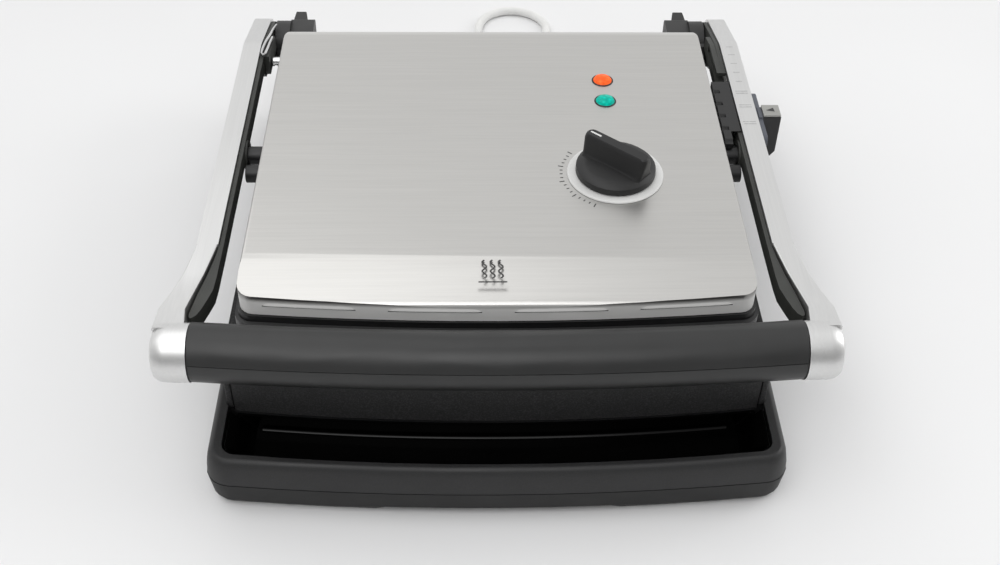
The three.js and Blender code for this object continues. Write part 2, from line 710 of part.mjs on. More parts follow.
// ---------------------------------------------------------------- arms

// The arm's side view: level along the lid, then down to the round knuckle at the hinge.
function armProfile(inset) {
  const radius = KNUCKLE_RADIUS - inset;
  const top = ARM_TOP_Z - inset;
  const bottom = ARM_BOTTOM_Z + inset;
  return [
    [ARM_FLARE_Y - 1, bottom],
    [HINGE_Y - 62, bottom],
    [HINGE_Y - 40, HINGE_Z + 3 + inset],
    [HINGE_Y - 22, HINGE_Z - 9 + inset],
    ...arc(HINGE_Y, HINGE_Z, radius, 240, 430, 14),
    [ARM_BEND_Y + 3, top - 1.2],
    [ARM_BEND_Y - 3, top],
    [ARM_FLARE_Y - 1, top],
  ];
}

function armSection(y, x, width, height) {
  return roundedRect(x - width / 2, x + width / 2, GRIP_Z - height / 2, GRIP_Z + height / 2, 1, 2)
    .map(([px, pz]) => new THREE.Vector3(px, y, pz));
}

// The arm's front end swings outward and thickens until it meets the end of the grip.
function armFlare() {
  const middle = (ARM_INNER_X + ARM_OUTER_X) / 2;
  const end = HANDLE_HALF;
  const rows = [
    [GRIP_BACK_Y + 62.5, middle, ARM_WIDTH, ARM_HEIGHT],
    [GRIP_BACK_Y + 49.5, middle + 1.8, ARM_WIDTH - 0.2, ARM_HEIGHT],
    [GRIP_BACK_Y + 35.5, middle + 4, ARM_WIDTH - 0.3, ARM_HEIGHT + 0.2],
    [GRIP_BACK_Y + 19.5, middle + 7.6, ARM_WIDTH + 0.6, ARM_HEIGHT + 1.6],
    [GRIP_BACK_Y + 4.5, end - 7.9, ARM_WIDTH + 2.5, ARM_HEIGHT + 5],
    [GRIP_BACK_Y - 7.5, end - 8.6, ARM_WIDTH + 4.4, ARM_HEIGHT + 7.6],
    [GRIP_BACK_Y - 13.5, end - 8.8, ARM_WIDTH + 4.4, ARM_HEIGHT + 11.4],
  ];
  return loft(rows.map((row) => armSection(...row)));
}

function gripRing(x, radius, y) {
  return arc(y, GRIP_Z, radius, 0, 360, 20)
    .slice(0, -1)
    .map(([py, pz]) => new THREE.Vector3(x, py, pz));
}

const gripLineY = (x) => GRIP_Y + GRIP_BOW * (x / GRIP_HALF) ** 2;

function armEnd() {
  const start = GRIP_HALF + GAP;
  const end = HANDLE_HALF;
  const rows = [
    [start, GRIP_RADIUS],
    [end - 8, GRIP_RADIUS - 0.2],
    [end - 4, GRIP_RADIUS - 0.9],
    [end - 1.4, GRIP_RADIUS - 2.4],
    [end, GRIP_RADIUS - 5.4],
  ];
  return loft(rows.map(([x, radius]) => gripRing(x, radius, GRIP_END_Y - 0.6)));
}

function sliderSlot(x0, x1) {
  const y0 = SLIDER_Y - SLIDER_FORWARD - SLIDER_NECK_LENGTH / 2 - RUNNING;
  const y1 = SLIDER_Y + SLIDER_REARWARD + SLIDER_NECK_LENGTH / 2 + RUNNING;
  const z = SLIDER_NECK_Z;
  return block(x0, x1, y0, y1, z - RUNNING, z + SLIDER_NECK_HEIGHT + RUNNING);
}

const pivotHole = (x0, x1) => rodX(PIVOT_RADIUS + RUNNING, x0, x1, PIVOT_Y, PIVOT_Z);

function arm(hasSlider) {
  const bar = prismX(armProfile(0), ARM_INNER_X, ARM_OUTER_X);
  const cuts = [
    rodX(HINGE_PIN_RADIUS + RUNNING, ARM_INNER_X - 1, hingePinOuter() + RUNNING, HINGE_Y, HINGE_Z),
    pivotHole(ARM_INNER_X - 1, pivotPinOuter() + RUNNING),
    coreTube(CORE_RADIUS + GAP, coreReach() + GAP),
  ];
  if (hasSlider) cuts.push(sliderSlot(ARM_INNER_X - 1, ARM_OUTER_X + 1));
  return without(joined([bar, armFlare(), armEnd()]), cuts);
}

// The strip inside the arm: thin along the lid, and as deep as the arm over the hinge.
function linerProfile() {
  const top = ARM_TOP_Z - 2;
  return [
    [ARM_FLARE_Y - 1, LINER_BOTTOM_Z],
    [HINGE_Y - 66, LINER_BOTTOM_Z],
    [HINGE_Y - 58, HINGE_Z + 8],
    [HINGE_Y - 40, HINGE_Z + 5],
    [HINGE_Y - 22, HINGE_Z - 7],
    ...arc(HINGE_Y, HINGE_Z, KNUCKLE_RADIUS - 2, 240, 430, 14),
    [ARM_BEND_Y + 1, top],
    [ARM_FLARE_Y - 1, top],
  ];
}

// The strip's front end runs out along the inner face of the arm's flare and stops behind the grip.
function linerToe() {
  const inner = [[-2.8, 62.5], [-2.6, 34.5], [-2.1, 23.9], [0, 15.8], [2.5, 7.5], [4.5, 3.3]];
  const end = [[6.9, 1.3], [8.1, 2.1]];
  const outer = [[8.5, 4.5], [6.3, 19.5], [3.1, 35.5], [1, 49.5], [-GAP, 62.5]];
  const outline = [...inner, ...end, ...outer].map(([dx, dy]) => [ARM_INNER_X + dx, GRIP_BACK_Y + dy]);
  return prism(outline, LINER_BOTTOM_Z, ARM_TOP_Z - 2);
}

// The strip is thicker from the given place back to the hinge, clear of the slider's rack.
const linerCheek = (frontY) =>
  prismX(
    [
      [frontY, STRAP_TOP_Z - 0.7],
      [HINGE_Y - 26, STRAP_TOP_Z - 0.7],
      [HINGE_Y - 26, ARM_TOP_Z - 7],
      [ARM_BEND_Y + 1, ARM_TOP_Z - 2.5],
      [frontY, ARM_TOP_Z - 2],
    ],
    LINER_INNER_X - CHEEK_THICKNESS,
    LINER_INNER_X + 1,
  );

// On the slider's side the strip is open where the rack runs, down to a narrow strap.
function rackWindow() {
  const front = PIVOT_Y + 13.5;
  const opening = block(LINER_INNER_X - 1, LINER_OUTER_X + 1, front, RACK_CHEEK_Y, STRAP_TOP_Z, ARM_TOP_Z);
  const rear = RACK_CHEEK_Y + 8;
  const strap = block(LINER_INNER_X, LINER_OUTER_X, PIVOT_Y, rear, STRAP_TOP_Z - 2.6, STRAP_TOP_Z);
  return { opening, strap };
}

function armLiner(hasSlider) {
  const strip = prismX(linerProfile(), LINER_INNER_X, LINER_OUTER_X);
  const collarEnd = LINER_INNER_X - PIVOT_COLLAR;
  const collar = rodX(PIVOT_RADIUS + 4, collarEnd, LINER_INNER_X + 1, PIVOT_Y, PIVOT_Z, 28);
  const cuts = [
    rodX(HINGE_PIN_RADIUS + RUNNING, LINER_INNER_X - 1, LINER_OUTER_X + 1, HINGE_Y, HINGE_Z),
    pivotHole(LINER_INNER_X - 2, LINER_OUTER_X + 1),
  ];
  const pieces = [strip, linerToe(), collar, linerCheek(hasSlider ? RACK_CHEEK_Y : HINGE_Y - 60)];
  if (hasSlider) {
    const { opening, strap } = rackWindow();
    pieces.push(strap);
    cuts.push(opening, sliderSlot(LINER_INNER_X - CHEEK_THICKNESS - 1, LINER_OUTER_X + 1));
  }
  return without(joined(pieces), cuts);
}

const hingeCap = () =>
  rodX(KNUCKLE_RADIUS - 5.5, ARM_OUTER_X + GAP, ARM_OUTER_X + 2.2, HINGE_Y, HINGE_Z, 28);

const coreReach = () => GRIP_HALF + 9;

function coreTube(radius, reach) {
  const rings = [];
  for (let i = 0; i <= 12; i += 1) {
    const x = -reach + (2 * reach * i) / 12;
    rings.push(gripRing(x, radius, gripLineY(x)));
  }
  return loft(rings);
}

// The grip is two moulded halves around the core, parted a little above the middle.
function gripHalf(upper) {
  const half = GRIP_HALF;
  const rings = [];
  for (let i = 0; i <= 14; i += 1) {
    const x = -half + (2 * half * i) / 14;
    rings.push(gripRing(x, GRIP_RADIUS, gripLineY(x)));
  }
  const [bottom, top] = upper
    ? [GRIP_PARTING_Z + GAP / 2, GRIP_Z + GRIP_RADIUS + 1]
    : [GRIP_Z - GRIP_RADIUS - 1, GRIP_PARTING_Z - GAP / 2];
  const keep = block(-half - 1, half + 1, GRIP_Y - 40, GRIP_Y + 50, bottom, top);
  return loft(rings).intersect(keep).subtract(coreTube(CORE_RADIUS + GAP, half + 2));
}

// A bent wire on the left liner that catches the lid's guide pin.
function latchWire() {
  const path = [
    [2, -5, 17.6],
    [1.7, -16, 21.4],
    [1.2, -30, 25.2],
    [-0.4, -44, 27.6],
    [-1.4, -56, 28],
    [-0.9, -60.5, 27.8],
    [0.4, -60.5, 27.8],
    [1.4, -56, 27.6],
    [2.6, -44, 27],
    [3.2, -34, 25.4],
  ];
  const onLiner = ([inward, back, up]) => [-LINER_INNER_X + inward, HINGE_Y + back, HINGE_Z + up];
  return tube(path.map(onLiner), 0.85, 8, 34);
}

// ---------------------------------------------------------------- height slider

// The rack has steps below, ledges across its top and a lip that runs over the liner.
function sliderRack() {
  const top = ARM_TOP_Z - 1;
  const front = SLIDER_Y - RACK_AHEAD;
  const rear = SLIDER_Y + RACK_BEHIND;
  const clearPin = PIVOT_Z + PIVOT_RADIUS + 1;
  const steps = [83.8, 85.4, 87.2, 88.8, 90.6];
  const stepStart = SLIDER_Y + 1;
  const stepLength = (rear - stepStart) / steps.length;
  const profile = [[front, clearPin], [stepStart, clearPin]];
  steps.forEach((z, i) => {
    profile.push([stepStart + i * stepLength, z], [stepStart + (i + 1) * stepLength, z]);
  });
  profile.push([rear, top]);
  const ledges = 5;
  const ledgeLength = (rear - front) / ledges;
  for (let i = ledges; i > 0; i -= 1) {
    const y = front + (i - 1) * ledgeLength;
    profile.push([y + ledgeLength * 0.28, top], [y + ledgeLength * 0.2, top - 1.5], [y, top - 1.5]);
    if (i > 1) profile.push([y, top]);
  }
  const inner = FRAME_HALF + 1.6;
  const outer = LINER_INNER_X - CHEEK_THICKNESS - 0.8;
  const body = prismX(profile, inner, outer);
  const lip = block(outer - 1, ARM_INNER_X - RUNNING, front + 12, rear, ARM_TOP_Z - 2 + GAP, top);
  const neck = block(
    outer - 1,
    ARM_OUTER_X + 4.6,
    SLIDER_Y - SLIDER_NECK_LENGTH / 2,
    SLIDER_Y + SLIDER_NECK_LENGTH / 2,
    SLIDER_NECK_Z,
    SLIDER_NECK_Z + SLIDER_NECK_HEIGHT,
  );
  return joined([body, lip, neck]);
}

function sliderBlock() {
  const face = ARM_OUTER_X + GAP;
  const backing = prismX(
    roundedRect(SLIDER_Y - 27, SLIDER_Y + 26, HINGE_Z + 12.4, ARM_TOP_Z - 2, 4),
    face,
    face + 3.6,
  );
  const outer = HANDLE_HALF + 3.5;
  const y0 = SLIDER_Y - SLIDER_BLOCK_DEPTH / 2;
  const y1 = SLIDER_Y + SLIDER_BLOCK_DEPTH / 2;
  const top = ARM_TOP_Z - 0.8;
  const finger = prismY(
    [
      [face + 1, top - SLIDER_BLOCK_HEIGHT + 12],
      [face + 3.8, top - SLIDER_BLOCK_HEIGHT],
      [outer - 3, top - SLIDER_BLOCK_HEIGHT + 2],
      [outer, top - SLIDER_BLOCK_HEIGHT + 6],
      [outer, top],
      [face + 1, top],
    ],
    y0,
    y1,
  );
  const socket = block(
    face - 1,
    ARM_OUTER_X + 4.6 + GAP,
    SLIDER_Y - SLIDER_NECK_LENGTH / 2 - GAP,
    SLIDER_Y + SLIDER_NECK_LENGTH / 2 + GAP,
    SLIDER_NECK_Z - GAP,
    SLIDER_NECK_Z + SLIDER_NECK_HEIGHT + GAP,
  );
  return backing.add(finger).subtract(socket);
}

function sliderCap() {
  const z = ARM_TOP_Z - 0.8 + GAP;
  return block(
    ARM_OUTER_X + GAP + 3.8,
    HANDLE_HALF + 3.1,
    SLIDER_Y - SLIDER_BLOCK_DEPTH / 2,
    SLIDER_Y + SLIDER_BLOCK_DEPTH / 2,
    z,
    z + 1.4,
  );
}

// ---------------------------------------------------------------- lid

// The steel skin: a plan outline, a side view with the rolled nose and a front view with rolled sides.
function lidForm(inset) {
  const half = LID_WIDTH / 2 - inset;
  const front = LID_FRONT_Y + inset;
  const rear = LID_REAR_Y - inset;
  const top = LID_TOP_Z - inset;
  const bottom = LID_SKIRT_Z - (inset > 0 ? 5 : 0);
  const nose = [];
  for (let i = 0; i <= 6; i += 1) {
    const reach = (LID_NOSE_LENGTH * (6 - i)) / 6;
    nose.push([front + LID_NOSE_LENGTH - reach, top - LID_NOSE_DROP * (reach / LID_NOSE_LENGTH) ** 1.25]);
  }
  const edge = top - LID_NOSE_DROP;
  const side = [
    [front - 1, bottom],
    [rear + 1, bottom],
    [rear + 1, top - 3],
    ...arc(rear - 3, top - 3, 3, 0, 90, 4),
    ...nose.slice(1).reverse(),
    [front + 3, edge + 0.5],
    [front + 1.3, edge - 0.5],
    [front + 0.3, edge - 2],
    [front - 1, edge - 4.4],
  ];
  const roll = 2.2;
  const across = [
    [-half - 1, bottom],
    [half + 1, bottom],
    [half + 1, top - roll],
    ...arc(half - roll, top - roll, roll, 0, 90, 5),
    ...arc(-half + roll, top - roll, roll, 90, 180, 5),
    [-half - 1, top - roll],
  ];
  const corner = LID_CORNER - inset;
  const plan = prism(bowedOutline(half, front, rear, corner, corner, LID_BOW), bottom, top + 1);
  return plan.intersect(prismX(side, -half - 2, half + 2)).intersect(prismY(across, front - 3, rear + 3));
}

function lidCover() {
  const holes = [
    rodZ(SHAFT_RADIUS + 1, LID_TOP_Z - 6, LID_TOP_Z + 1, KNOB_X, KNOB_Y),
    ...lampPlaces().map(([x, y]) => rodZ(LAMP_RADIUS + GAP, LID_TOP_Z - 6, LID_TOP_Z + 1, x, y)),
  ];
  return without(lidForm(0), [lidForm(LID_SKIN), ...holes]);
}

const lampPlaces = () => [[KNOB_X, LAMP_Y + LAMP_SPACING], [KNOB_X, LAMP_Y]];

function lidFrame() {
  const corner = LID_CORNER + 2;
  const outline = (inset) =>
    bowedOutline(
      FRAME_HALF - inset,
      FRAME_FRONT_Y + inset,
      FRAME_REAR_Y - inset,
      corner - inset,
      corner - inset,
      LID_BOW,
    );
  const outer = loft([
    ringAt(outline(1), FRAME_BOTTOM_Z),
    ringAt(outline(0), FRAME_BOTTOM_Z + 2),
    ringAt(outline(0), FRAME_STEP_Z),
    ringAt(outline(FRAME_OVERHANG - 1.4), FRAME_STEP_Z + 0.4),
    ringAt(outline(FRAME_OVERHANG - 1.2), LID_SKIRT_Z - GAP),
  ]);
  const opening = prism(
    bowedOutline(FRAME_HALF - FRAME_RING, FRAME_FRONT_Y + FRAME_RING, FRAME_REAR_Y - FRAME_RING, 12),
    FRAME_BOTTOM_Z - 1,
    LID_SKIRT_Z + 1,
  );
  const pinHoles = [PIVOT_Y, STOP_Y].flatMap((y) => [
    rodX(PIVOT_RADIUS + GAP, pivotPinInner() - GAP, FRAME_HALF + 1, y, PIVOT_Z),
    rodX(PIVOT_RADIUS + GAP, -FRAME_HALF - 1, -pivotPinInner() + GAP, y, PIVOT_Z),
  ]);
  return without(outer, [opening, ...pinHoles, guidePin(GAP)]);
}

const pivotPinInner = () => FRAME_HALF - 8;
const pivotPinOuter = () => ARM_INNER_X + 6;
const pivotPin = () => rodX(PIVOT_RADIUS, pivotPinInner(), pivotPinOuter(), PIVOT_Y, PIVOT_Z);
const stopPin = () => rodX(PIVOT_RADIUS - 0.3, pivotPinInner(), LINER_INNER_X - 1.6, STOP_Y, PIVOT_Z);

function guidePin(spare = 0) {
  const outerEnd = -LINER_INNER_X + CHEEK_THICKNESS + 0.8;
  return rodX(3 + spare, outerEnd, -pivotPinInner() + spare, FRAME_REAR_Y - 6.5, PIVOT_Z + 1.8, 16);
}

function knob() {
  const base = LID_TOP_Z + 1.6;
  const top = base + KNOB_HEIGHT;
  const skirt = turned(
    [
      [0, base],
      [KNOB_RADIUS - 0.6, base],
      [KNOB_RADIUS, base + 0.8],
      [KNOB_RADIUS - 0.2, base + 4.4],
      [KNOB_RADIUS - 2.2, base + 6.2],
      [KNOB_RADIUS - 6, base + 7.4],
      [0, base + 8.4],
    ],
    0,
    0,
    36,
  );
  const reach = KNOB_RADIUS - 1.6;
  const section = (z, half, length) =>
    ringAt(roundedRect(-length, length, -half, half, Math.min(half, 3) - 0.05, 3), z);
  const blade = loft([
    section(base + 5, 9, reach - 1.4),
    section(base + 9, 6.4, reach - 1),
    section(top - 3, 4.2, reach),
    section(top - 0.8, 3.7, reach - 0.5),
    section(top, 3, reach - 1.4),
  ]);
  const shaft = rodZ(SHAFT_RADIUS, LID_TOP_Z - 8, base + 1, 0, 0, 16);
  return joined([skirt, blade, shaft]).rotate([0, 0, -41]).translate([KNOB_X, KNOB_Y, 0]);
}

function dialRing() {
  const z = LID_TOP_Z + GAP;
  const profile = [
    [KNOB_RADIUS - 6, z],
    [DIAL_RADIUS, z],
    [DIAL_RADIUS - 0.4, z + 0.7],
    [DIAL_RADIUS - 1.4, z + 0.9],
    [KNOB_RADIUS - 6, z + 0.9],
    [KNOB_RADIUS - 6, z],
  ];
  return turned(profile, KNOB_X, KNOB_Y, 40);
}

function thermostat() {
  const body = rodZ(15, LID_TOP_Z - 13, LID_TOP_Z - LID_SKIN - GAP, KNOB_X, KNOB_Y, 20);
  return body.subtract(rodZ(SHAFT_RADIUS + RUNNING, LID_TOP_Z - 9, LID_TOP_Z, KNOB_X, KNOB_Y, 16));
}

function lampLens([x, y]) {
  const base = LID_TOP_Z - 9;
  const r = LAMP_RADIUS;
  const profile = [
    [0, base],
    [r - 1.4, base],
    [r, base + 1],
    [r, LID_TOP_Z + 0.4],
    [r * 0.86, LID_TOP_Z + 1.7],
    [r * 0.5, LID_TOP_Z + 2.6],
    [0, LID_TOP_Z + 2.9],
  ];
  return turned(profile, x, y, 24);
}

function lampBoard() {
  const [[x, rear], [, front]] = lampPlaces();
  const z = LID_TOP_Z - 9 - GAP;
  return block(x - 9, x + 9, front - 9, rear + 9, z - 1.6, z);
}

// ---------------------------------------------------------------- the assembly

const press = new THREE.Group();

function place(name, body, material) {
  const mesh = new THREE.Mesh(geometryOf(body), material());
  mesh.name = name;
  press.add(mesh);
}

function placePair(name, body, material) {
  place(`${name}_right`, body, material);
  place(`${name}_left`, mirrored(body), material);
}

place('base_shell', baseShell(), blackPlastic);
place('base_bottom_cover', baseCover(), blackPlastic);
place('apron_front', apronBlank(0), texturedBlack);
place('side_panel_right', sidePanelBlank(1, 0), blackPlastic);
place('side_panel_left', sidePanelBlank(-1, 0), blackPlastic);
place('lower_plate', lowerPlate(), castBlack);
place('lower_element', heaterTube(BODY_TOP_Z - 4, LOWER_FRONT_Y, LOWER_REAR_Y), tinPlate);
place('lower_reflector', lowerReflector(), tinPlate);
placePair('hinge_tower', hingeTower(), blackPlastic);
placePair('hinge_pin', hingePin(), brightSteel);
placePair('rear_stand', rearStand(), blackPlastic);
place('height_post', heightPost(), blackPlastic);
const footNames = ['foot_front_left', 'foot_front_right', 'foot_rear_left', 'foot_rear_right'];
footPlaces().forEach((spot, i) => place(footNames[i], rubberFoot(spot), blackRubber));
place('strain_relief', strainRelief(), cordGrey);
place('cord', cord(), cordGrey);
place('cord_coil', coil(), cordGrey);
place('cord_tail', cordTail(), cordGrey);
place('plug_body', plugBody(), cordGrey);
const plugPinNames = ['plug_pin_earth', 'plug_pin_left', 'plug_pin_right'];
plugPinPlaces().forEach((spot, i) => place(plugPinNames[i], plugPin(spot), brassPin));
place('drip_tray', dripTray(), glossBlack);

place('arm_right', arm(true), satinAluminium);
place('arm_left', mirrored(arm(false)), satinAluminium);
place('arm_liner_right', armLiner(true), greyPlastic);
place('arm_liner_left', mirrored(armLiner(false)), greyPlastic);
placePair('hinge_cap', hingeCap(), greyPlastic);
place('grip_core', coreTube(CORE_RADIUS, coreReach()), tinPlate);
place('grip_upper', gripHalf(true), softGrip);
place('grip_lower', gripHalf(false), softGrip);
place('latch_wire', latchWire(), brightSteel);

place('slider_rack', sliderRack(), blackPlastic);
place('slider_block', sliderBlock(), blackPlastic);
place('slider_cap', sliderCap(), brushedSteel);

place('lid_cover', lidCover(), brushedSteel);
place('lid_frame', lidFrame(), blackPlastic);
place('upper_plate', upperPlate(), castBlack);
place('upper_element', heaterTube(LID_SKIRT_Z - 1.6, UPPER_FRONT_Y, UPPER_REAR_Y), tinPlate);
place('upper_reflector', upperReflector(), tinPlate);
placePair('pivot_pin', pivotPin(), blackPlastic);
placePair('stop_pin', stopPin(), blackPlastic);
place('guide_pin', guidePin(), brightSteel);
place('thermostat', thermostat(), tinPlate);
place('dial_ring', dialRing(), whiteDial);
place('lamp_power', lampLens(lampPlaces()[0]), redLens);
place('lamp_ready', lampLens(lampPlaces()[1]), greenLens);
place('lamp_board', lampBoard(), castBlack);
place('knob', knob(), blackPlastic);

export default press;
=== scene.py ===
"""The panini press in its finished materials, on a plain pale table.

Metres, in the CAD model's own frame: +Z up, +X to the right, -Y to the front.
"""

import math

import bmesh
import bpy
from mathutils import Matrix, Vector


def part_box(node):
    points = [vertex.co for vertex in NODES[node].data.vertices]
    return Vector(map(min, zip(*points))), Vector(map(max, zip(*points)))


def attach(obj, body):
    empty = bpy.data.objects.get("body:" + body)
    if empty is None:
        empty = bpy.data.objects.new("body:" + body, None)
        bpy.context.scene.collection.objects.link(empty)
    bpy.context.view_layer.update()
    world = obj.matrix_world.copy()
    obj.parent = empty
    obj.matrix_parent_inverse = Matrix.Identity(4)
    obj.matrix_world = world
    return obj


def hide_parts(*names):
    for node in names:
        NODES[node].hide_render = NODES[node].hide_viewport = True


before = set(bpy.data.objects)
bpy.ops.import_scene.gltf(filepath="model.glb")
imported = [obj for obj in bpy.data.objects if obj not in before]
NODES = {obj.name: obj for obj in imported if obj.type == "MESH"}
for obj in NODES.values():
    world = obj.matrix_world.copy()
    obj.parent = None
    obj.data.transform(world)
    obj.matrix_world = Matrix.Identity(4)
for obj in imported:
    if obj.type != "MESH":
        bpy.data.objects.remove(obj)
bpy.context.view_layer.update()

MM = 0.001


def middle(node):
    low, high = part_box(node)
    return (low + high) / 2


# ---------------------------------------------------------------- camera

CAMERA_PLACE = (-15.3 * MM, -641.4 * MM, 592.1 * MM)
CAMERA_PITCH = math.radians(43.07)
CAMERA_YAW = math.radians(1.81)
CAMERA_ROLL = math.radians(1.07)
CAMERA_LENS = 45.76


def make_camera():
    ahead = Vector(
        (
            math.sin(CAMERA_YAW) * math.cos(CAMERA_PITCH),
            math.cos(CAMERA_YAW) * math.cos(CAMERA_PITCH),
            -math.sin(CAMERA_PITCH),
        )
    )
    level = Vector((math.cos(CAMERA_YAW), -math.sin(CAMERA_YAW), 0))
    upright = level.cross(ahead)
    right = math.cos(CAMERA_ROLL) * level + math.sin(CAMERA_ROLL) * upright
    up = math.cos(CAMERA_ROLL) * upright - math.sin(CAMERA_ROLL) * level
    data = bpy.data.cameras.new("camera")
    data.sensor_fit = "HORIZONTAL"
    data.sensor_width = 36
    data.lens = CAMERA_LENS
    data.clip_start = 0.01
    camera = bpy.data.objects.new("camera", data)
    turn = Matrix((right, up, -ahead)).transposed().to_4x4()
    camera.matrix_world = Matrix.Translation(CAMERA_PLACE) @ turn
    bpy.context.collection.objects.link(camera)
    bpy.context.scene.camera = camera


make_camera()

# ---------------------------------------------------------------- materials


class Finish:
    """A Principled material. What is even is set on the shader, and what varies comes from nodes."""

    def __init__(self, name, color, roughness, metallic=0.0, **sockets):
        self.material = bpy.data.materials.new(name)
        self.material.use_nodes = True
        self.tree = self.material.node_tree
        self.shader = self.tree.nodes["Principled BSDF"]
        self.color = color
        self.shader.inputs["Base Color"].default_value = (*color, 1)
        self.shader.inputs["Roughness"].default_value = roughness
        self.shader.inputs["Metallic"].default_value = metallic
        for socket, value in sockets.items():
            self.shader.inputs[socket.replace("_", " ")].default_value = value
        self.height = None

    def node(self, kind, **settings):
        made = self.tree.nodes.new(kind)
        for key, value in settings.items():
            setattr(made, key, value)
        return made

    def place(self, stretch=(1, 1, 1)):
        """The point on the piece, in metres times the stretch."""
        where = self.node("ShaderNodeTexCoord")
        scaled = self.node("ShaderNodeMapping")
        scaled.inputs["Scale"].default_value = stretch
        self.tree.links.new(where.outputs["Object"], scaled.inputs["Vector"])
        return scaled.outputs["Vector"]

    def noise(self, per_metre, stretch=(1, 1, 1), detail=2.0, rough=0.5):
        made = self.node("ShaderNodeTexNoise")
        made.inputs["Scale"].default_value = per_metre
        made.inputs["Detail"].default_value = detail
        made.inputs["Roughness"].default_value = rough
        self.tree.links.new(self.place(stretch), made.inputs["Vector"])
        return made.outputs["Fac"]

    def spread(self, factor, low, high, start=0.3, end=0.7):
        """The factor stretched from start..end to low..high."""
        made = self.node("ShaderNodeMapRange")
        for socket, value in zip(("From Min", "From Max", "To Min", "To Max"), (start, end, low, high)):
            made.inputs[socket].default_value = value
        self.tree.links.new(factor, made.inputs["Value"])
        return made.outputs["Result"]

    def shade(self, factor, least, most, start=0.3, end=0.7):
        """The colour goes from least to most times its own brightness."""
        ramp = self.node("ShaderNodeValToRGB")
        ramp.color_ramp.elements[0].position = start
        ramp.color_ramp.elements[1].position = end
        ramp.color_ramp.elements[0].color = (*[min(c * least, 1) for c in self.color], 1)
        ramp.color_ramp.elements[1].color = (*[min(c * most, 1) for c in self.color], 1)
        self.tree.links.new(factor, ramp.inputs["Fac"])
        self.tree.links.new(ramp.outputs["Color"], self.shader.inputs["Base Color"])
        return self

    def gloss(self, factor, low, high, start=0.3, end=0.7):
        self.tree.links.new(self.spread(factor, low, high, start, end), self.shader.inputs["Roughness"])
        return self

    def along(self, axis, start, end):
        """0 at start and 1 at end along X (0), Y (1) or Z (2), in metres."""
        where = self.node("ShaderNodeSeparateXYZ")
        self.tree.links.new(self.place(), where.inputs["Vector"])
        return self.spread(where.outputs[axis], 0.0, 1.0, start, end)

    def blend(self, factor, other):
        """Goes from the colour so far to the other one."""
        mixed = self.node("ShaderNodeMix", data_type="RGBA")
        base = self.shader.inputs["Base Color"]
        self.tree.links.new(factor, mixed.inputs["Factor"])
        self.tree.links.new(base.links[0].from_socket, mixed.inputs[6])
        mixed.inputs[7].default_value = (*other, 1)
        self.tree.links.new(mixed.outputs[2], base)
        return self

    def bump(self, factor, depth, strength=1.0):
        """Relief of that depth in metres; further calls add to it."""
        made = self.node("ShaderNodeBump")
        made.inputs["Strength"].default_value = strength
        made.inputs["Distance"].default_value = depth
        self.tree.links.new(factor, made.inputs["Height"])
        if self.height:
            self.tree.links.new(self.height, made.inputs["Normal"])
        self.height = made.outputs["Normal"]
        self.tree.links.new(self.height, self.shader.inputs["Normal"])
        return self


def brushed(name, color, roughness, along, contrast=0.05, metallic=1.0):
    """Metal with fine scratches along X (0), Y (1) or Z (2)."""
    made = Finish(name, color, roughness, metallic)
    stretch = [1.0, 1.0, 1.0]
    stretch[along] = 0.02
    coarse = made.noise(700, stretch, 4.0, 0.65)
    fine = made.noise(3200, stretch, 2.0, 0.5)
    cloud = made.noise(9, (1, 1, 1), 2.0)
    made.shade(coarse, 1 - contrast, 1 + contrast)
    made.gloss(cloud, roughness - 0.02, roughness + 0.03)
    made.bump(fine, 0.000006, 0.6)
    return made.material


def moulded(name, color, roughness, grain=2400, depth=0.00003, mottle=0.12, **sockets):
    """Moulded plastic with a fine spark-eroded grain."""
    made = Finish(name, color, roughness, 0.0, **sockets)
    made.shade(made.noise(60, detail=4.0), 1 - mottle, 1 + mottle)
    made.gloss(made.noise(25, detail=3.0), roughness - 0.04, roughness + 0.04)
    made.bump(made.noise(grain, detail=2.0), depth, 0.5)
    return made.material


def textured_painted_glints(name, color, roughness, grain, depth, glint_gain):
    """Textured paint: a coarser grain whose high spots are painted paler, a painted highlight where they
    catch the light.
    """
    made = Finish(name, color, roughness)
    grains = made.noise(grain, detail=3.0, rough=0.6)
    # painted highlight: the grain's high spots are painted paler than its hollows
    made.shade(grains, 1.0, glint_gain, 0.45, 0.72)
    made.gloss(made.noise(30, detail=3.0), roughness - 0.05, roughness + 0.05)
    made.bump(grains, depth, 0.8)
    return made.material


def enamel(name, color, roughness, **sockets):
    made = Finish(name, color, roughness, 0.0, **sockets)
    made.gloss(made.noise(14, detail=3.0), roughness - 0.03, roughness + 0.06)
    made.shade(made.noise(50, detail=2.0), 0.8, 1.2)
    made.bump(made.noise(45, detail=1.0), 0.00008, 0.3)
    return made.material


def lens(name, color, glow):
    """A clear coloured lens over a lamp, each facet painted brighter and yellower towards its middle as a
    painted highlight.
    """
    made = Finish(name, color, 0.16, 0.0, Specular_IOR_Level=0.12)
    cells = made.node("ShaderNodeTexVoronoi")
    cells.inputs["Scale"].default_value = 420
    made.tree.links.new(made.place(), cells.inputs["Vector"])
    # painted highlight: each facet's middle is painted brighter than its edges
    made.shade(cells.outputs["Distance"], 1.5, 0.75, 0.1, 0.7)
    made.bump(cells.outputs["Distance"], 0.0004, 0.4)
    made.shader.inputs["Emission Color"].default_value = (*glow, 1)
    made.shader.inputs["Emission Strength"].default_value = 0.35
    return made.material


def print_ink(name, color):
    made = Finish(name, color, 0.5)
    made.shade(made.noise(900, detail=2.0), 0.8, 1.3)
    return made.material


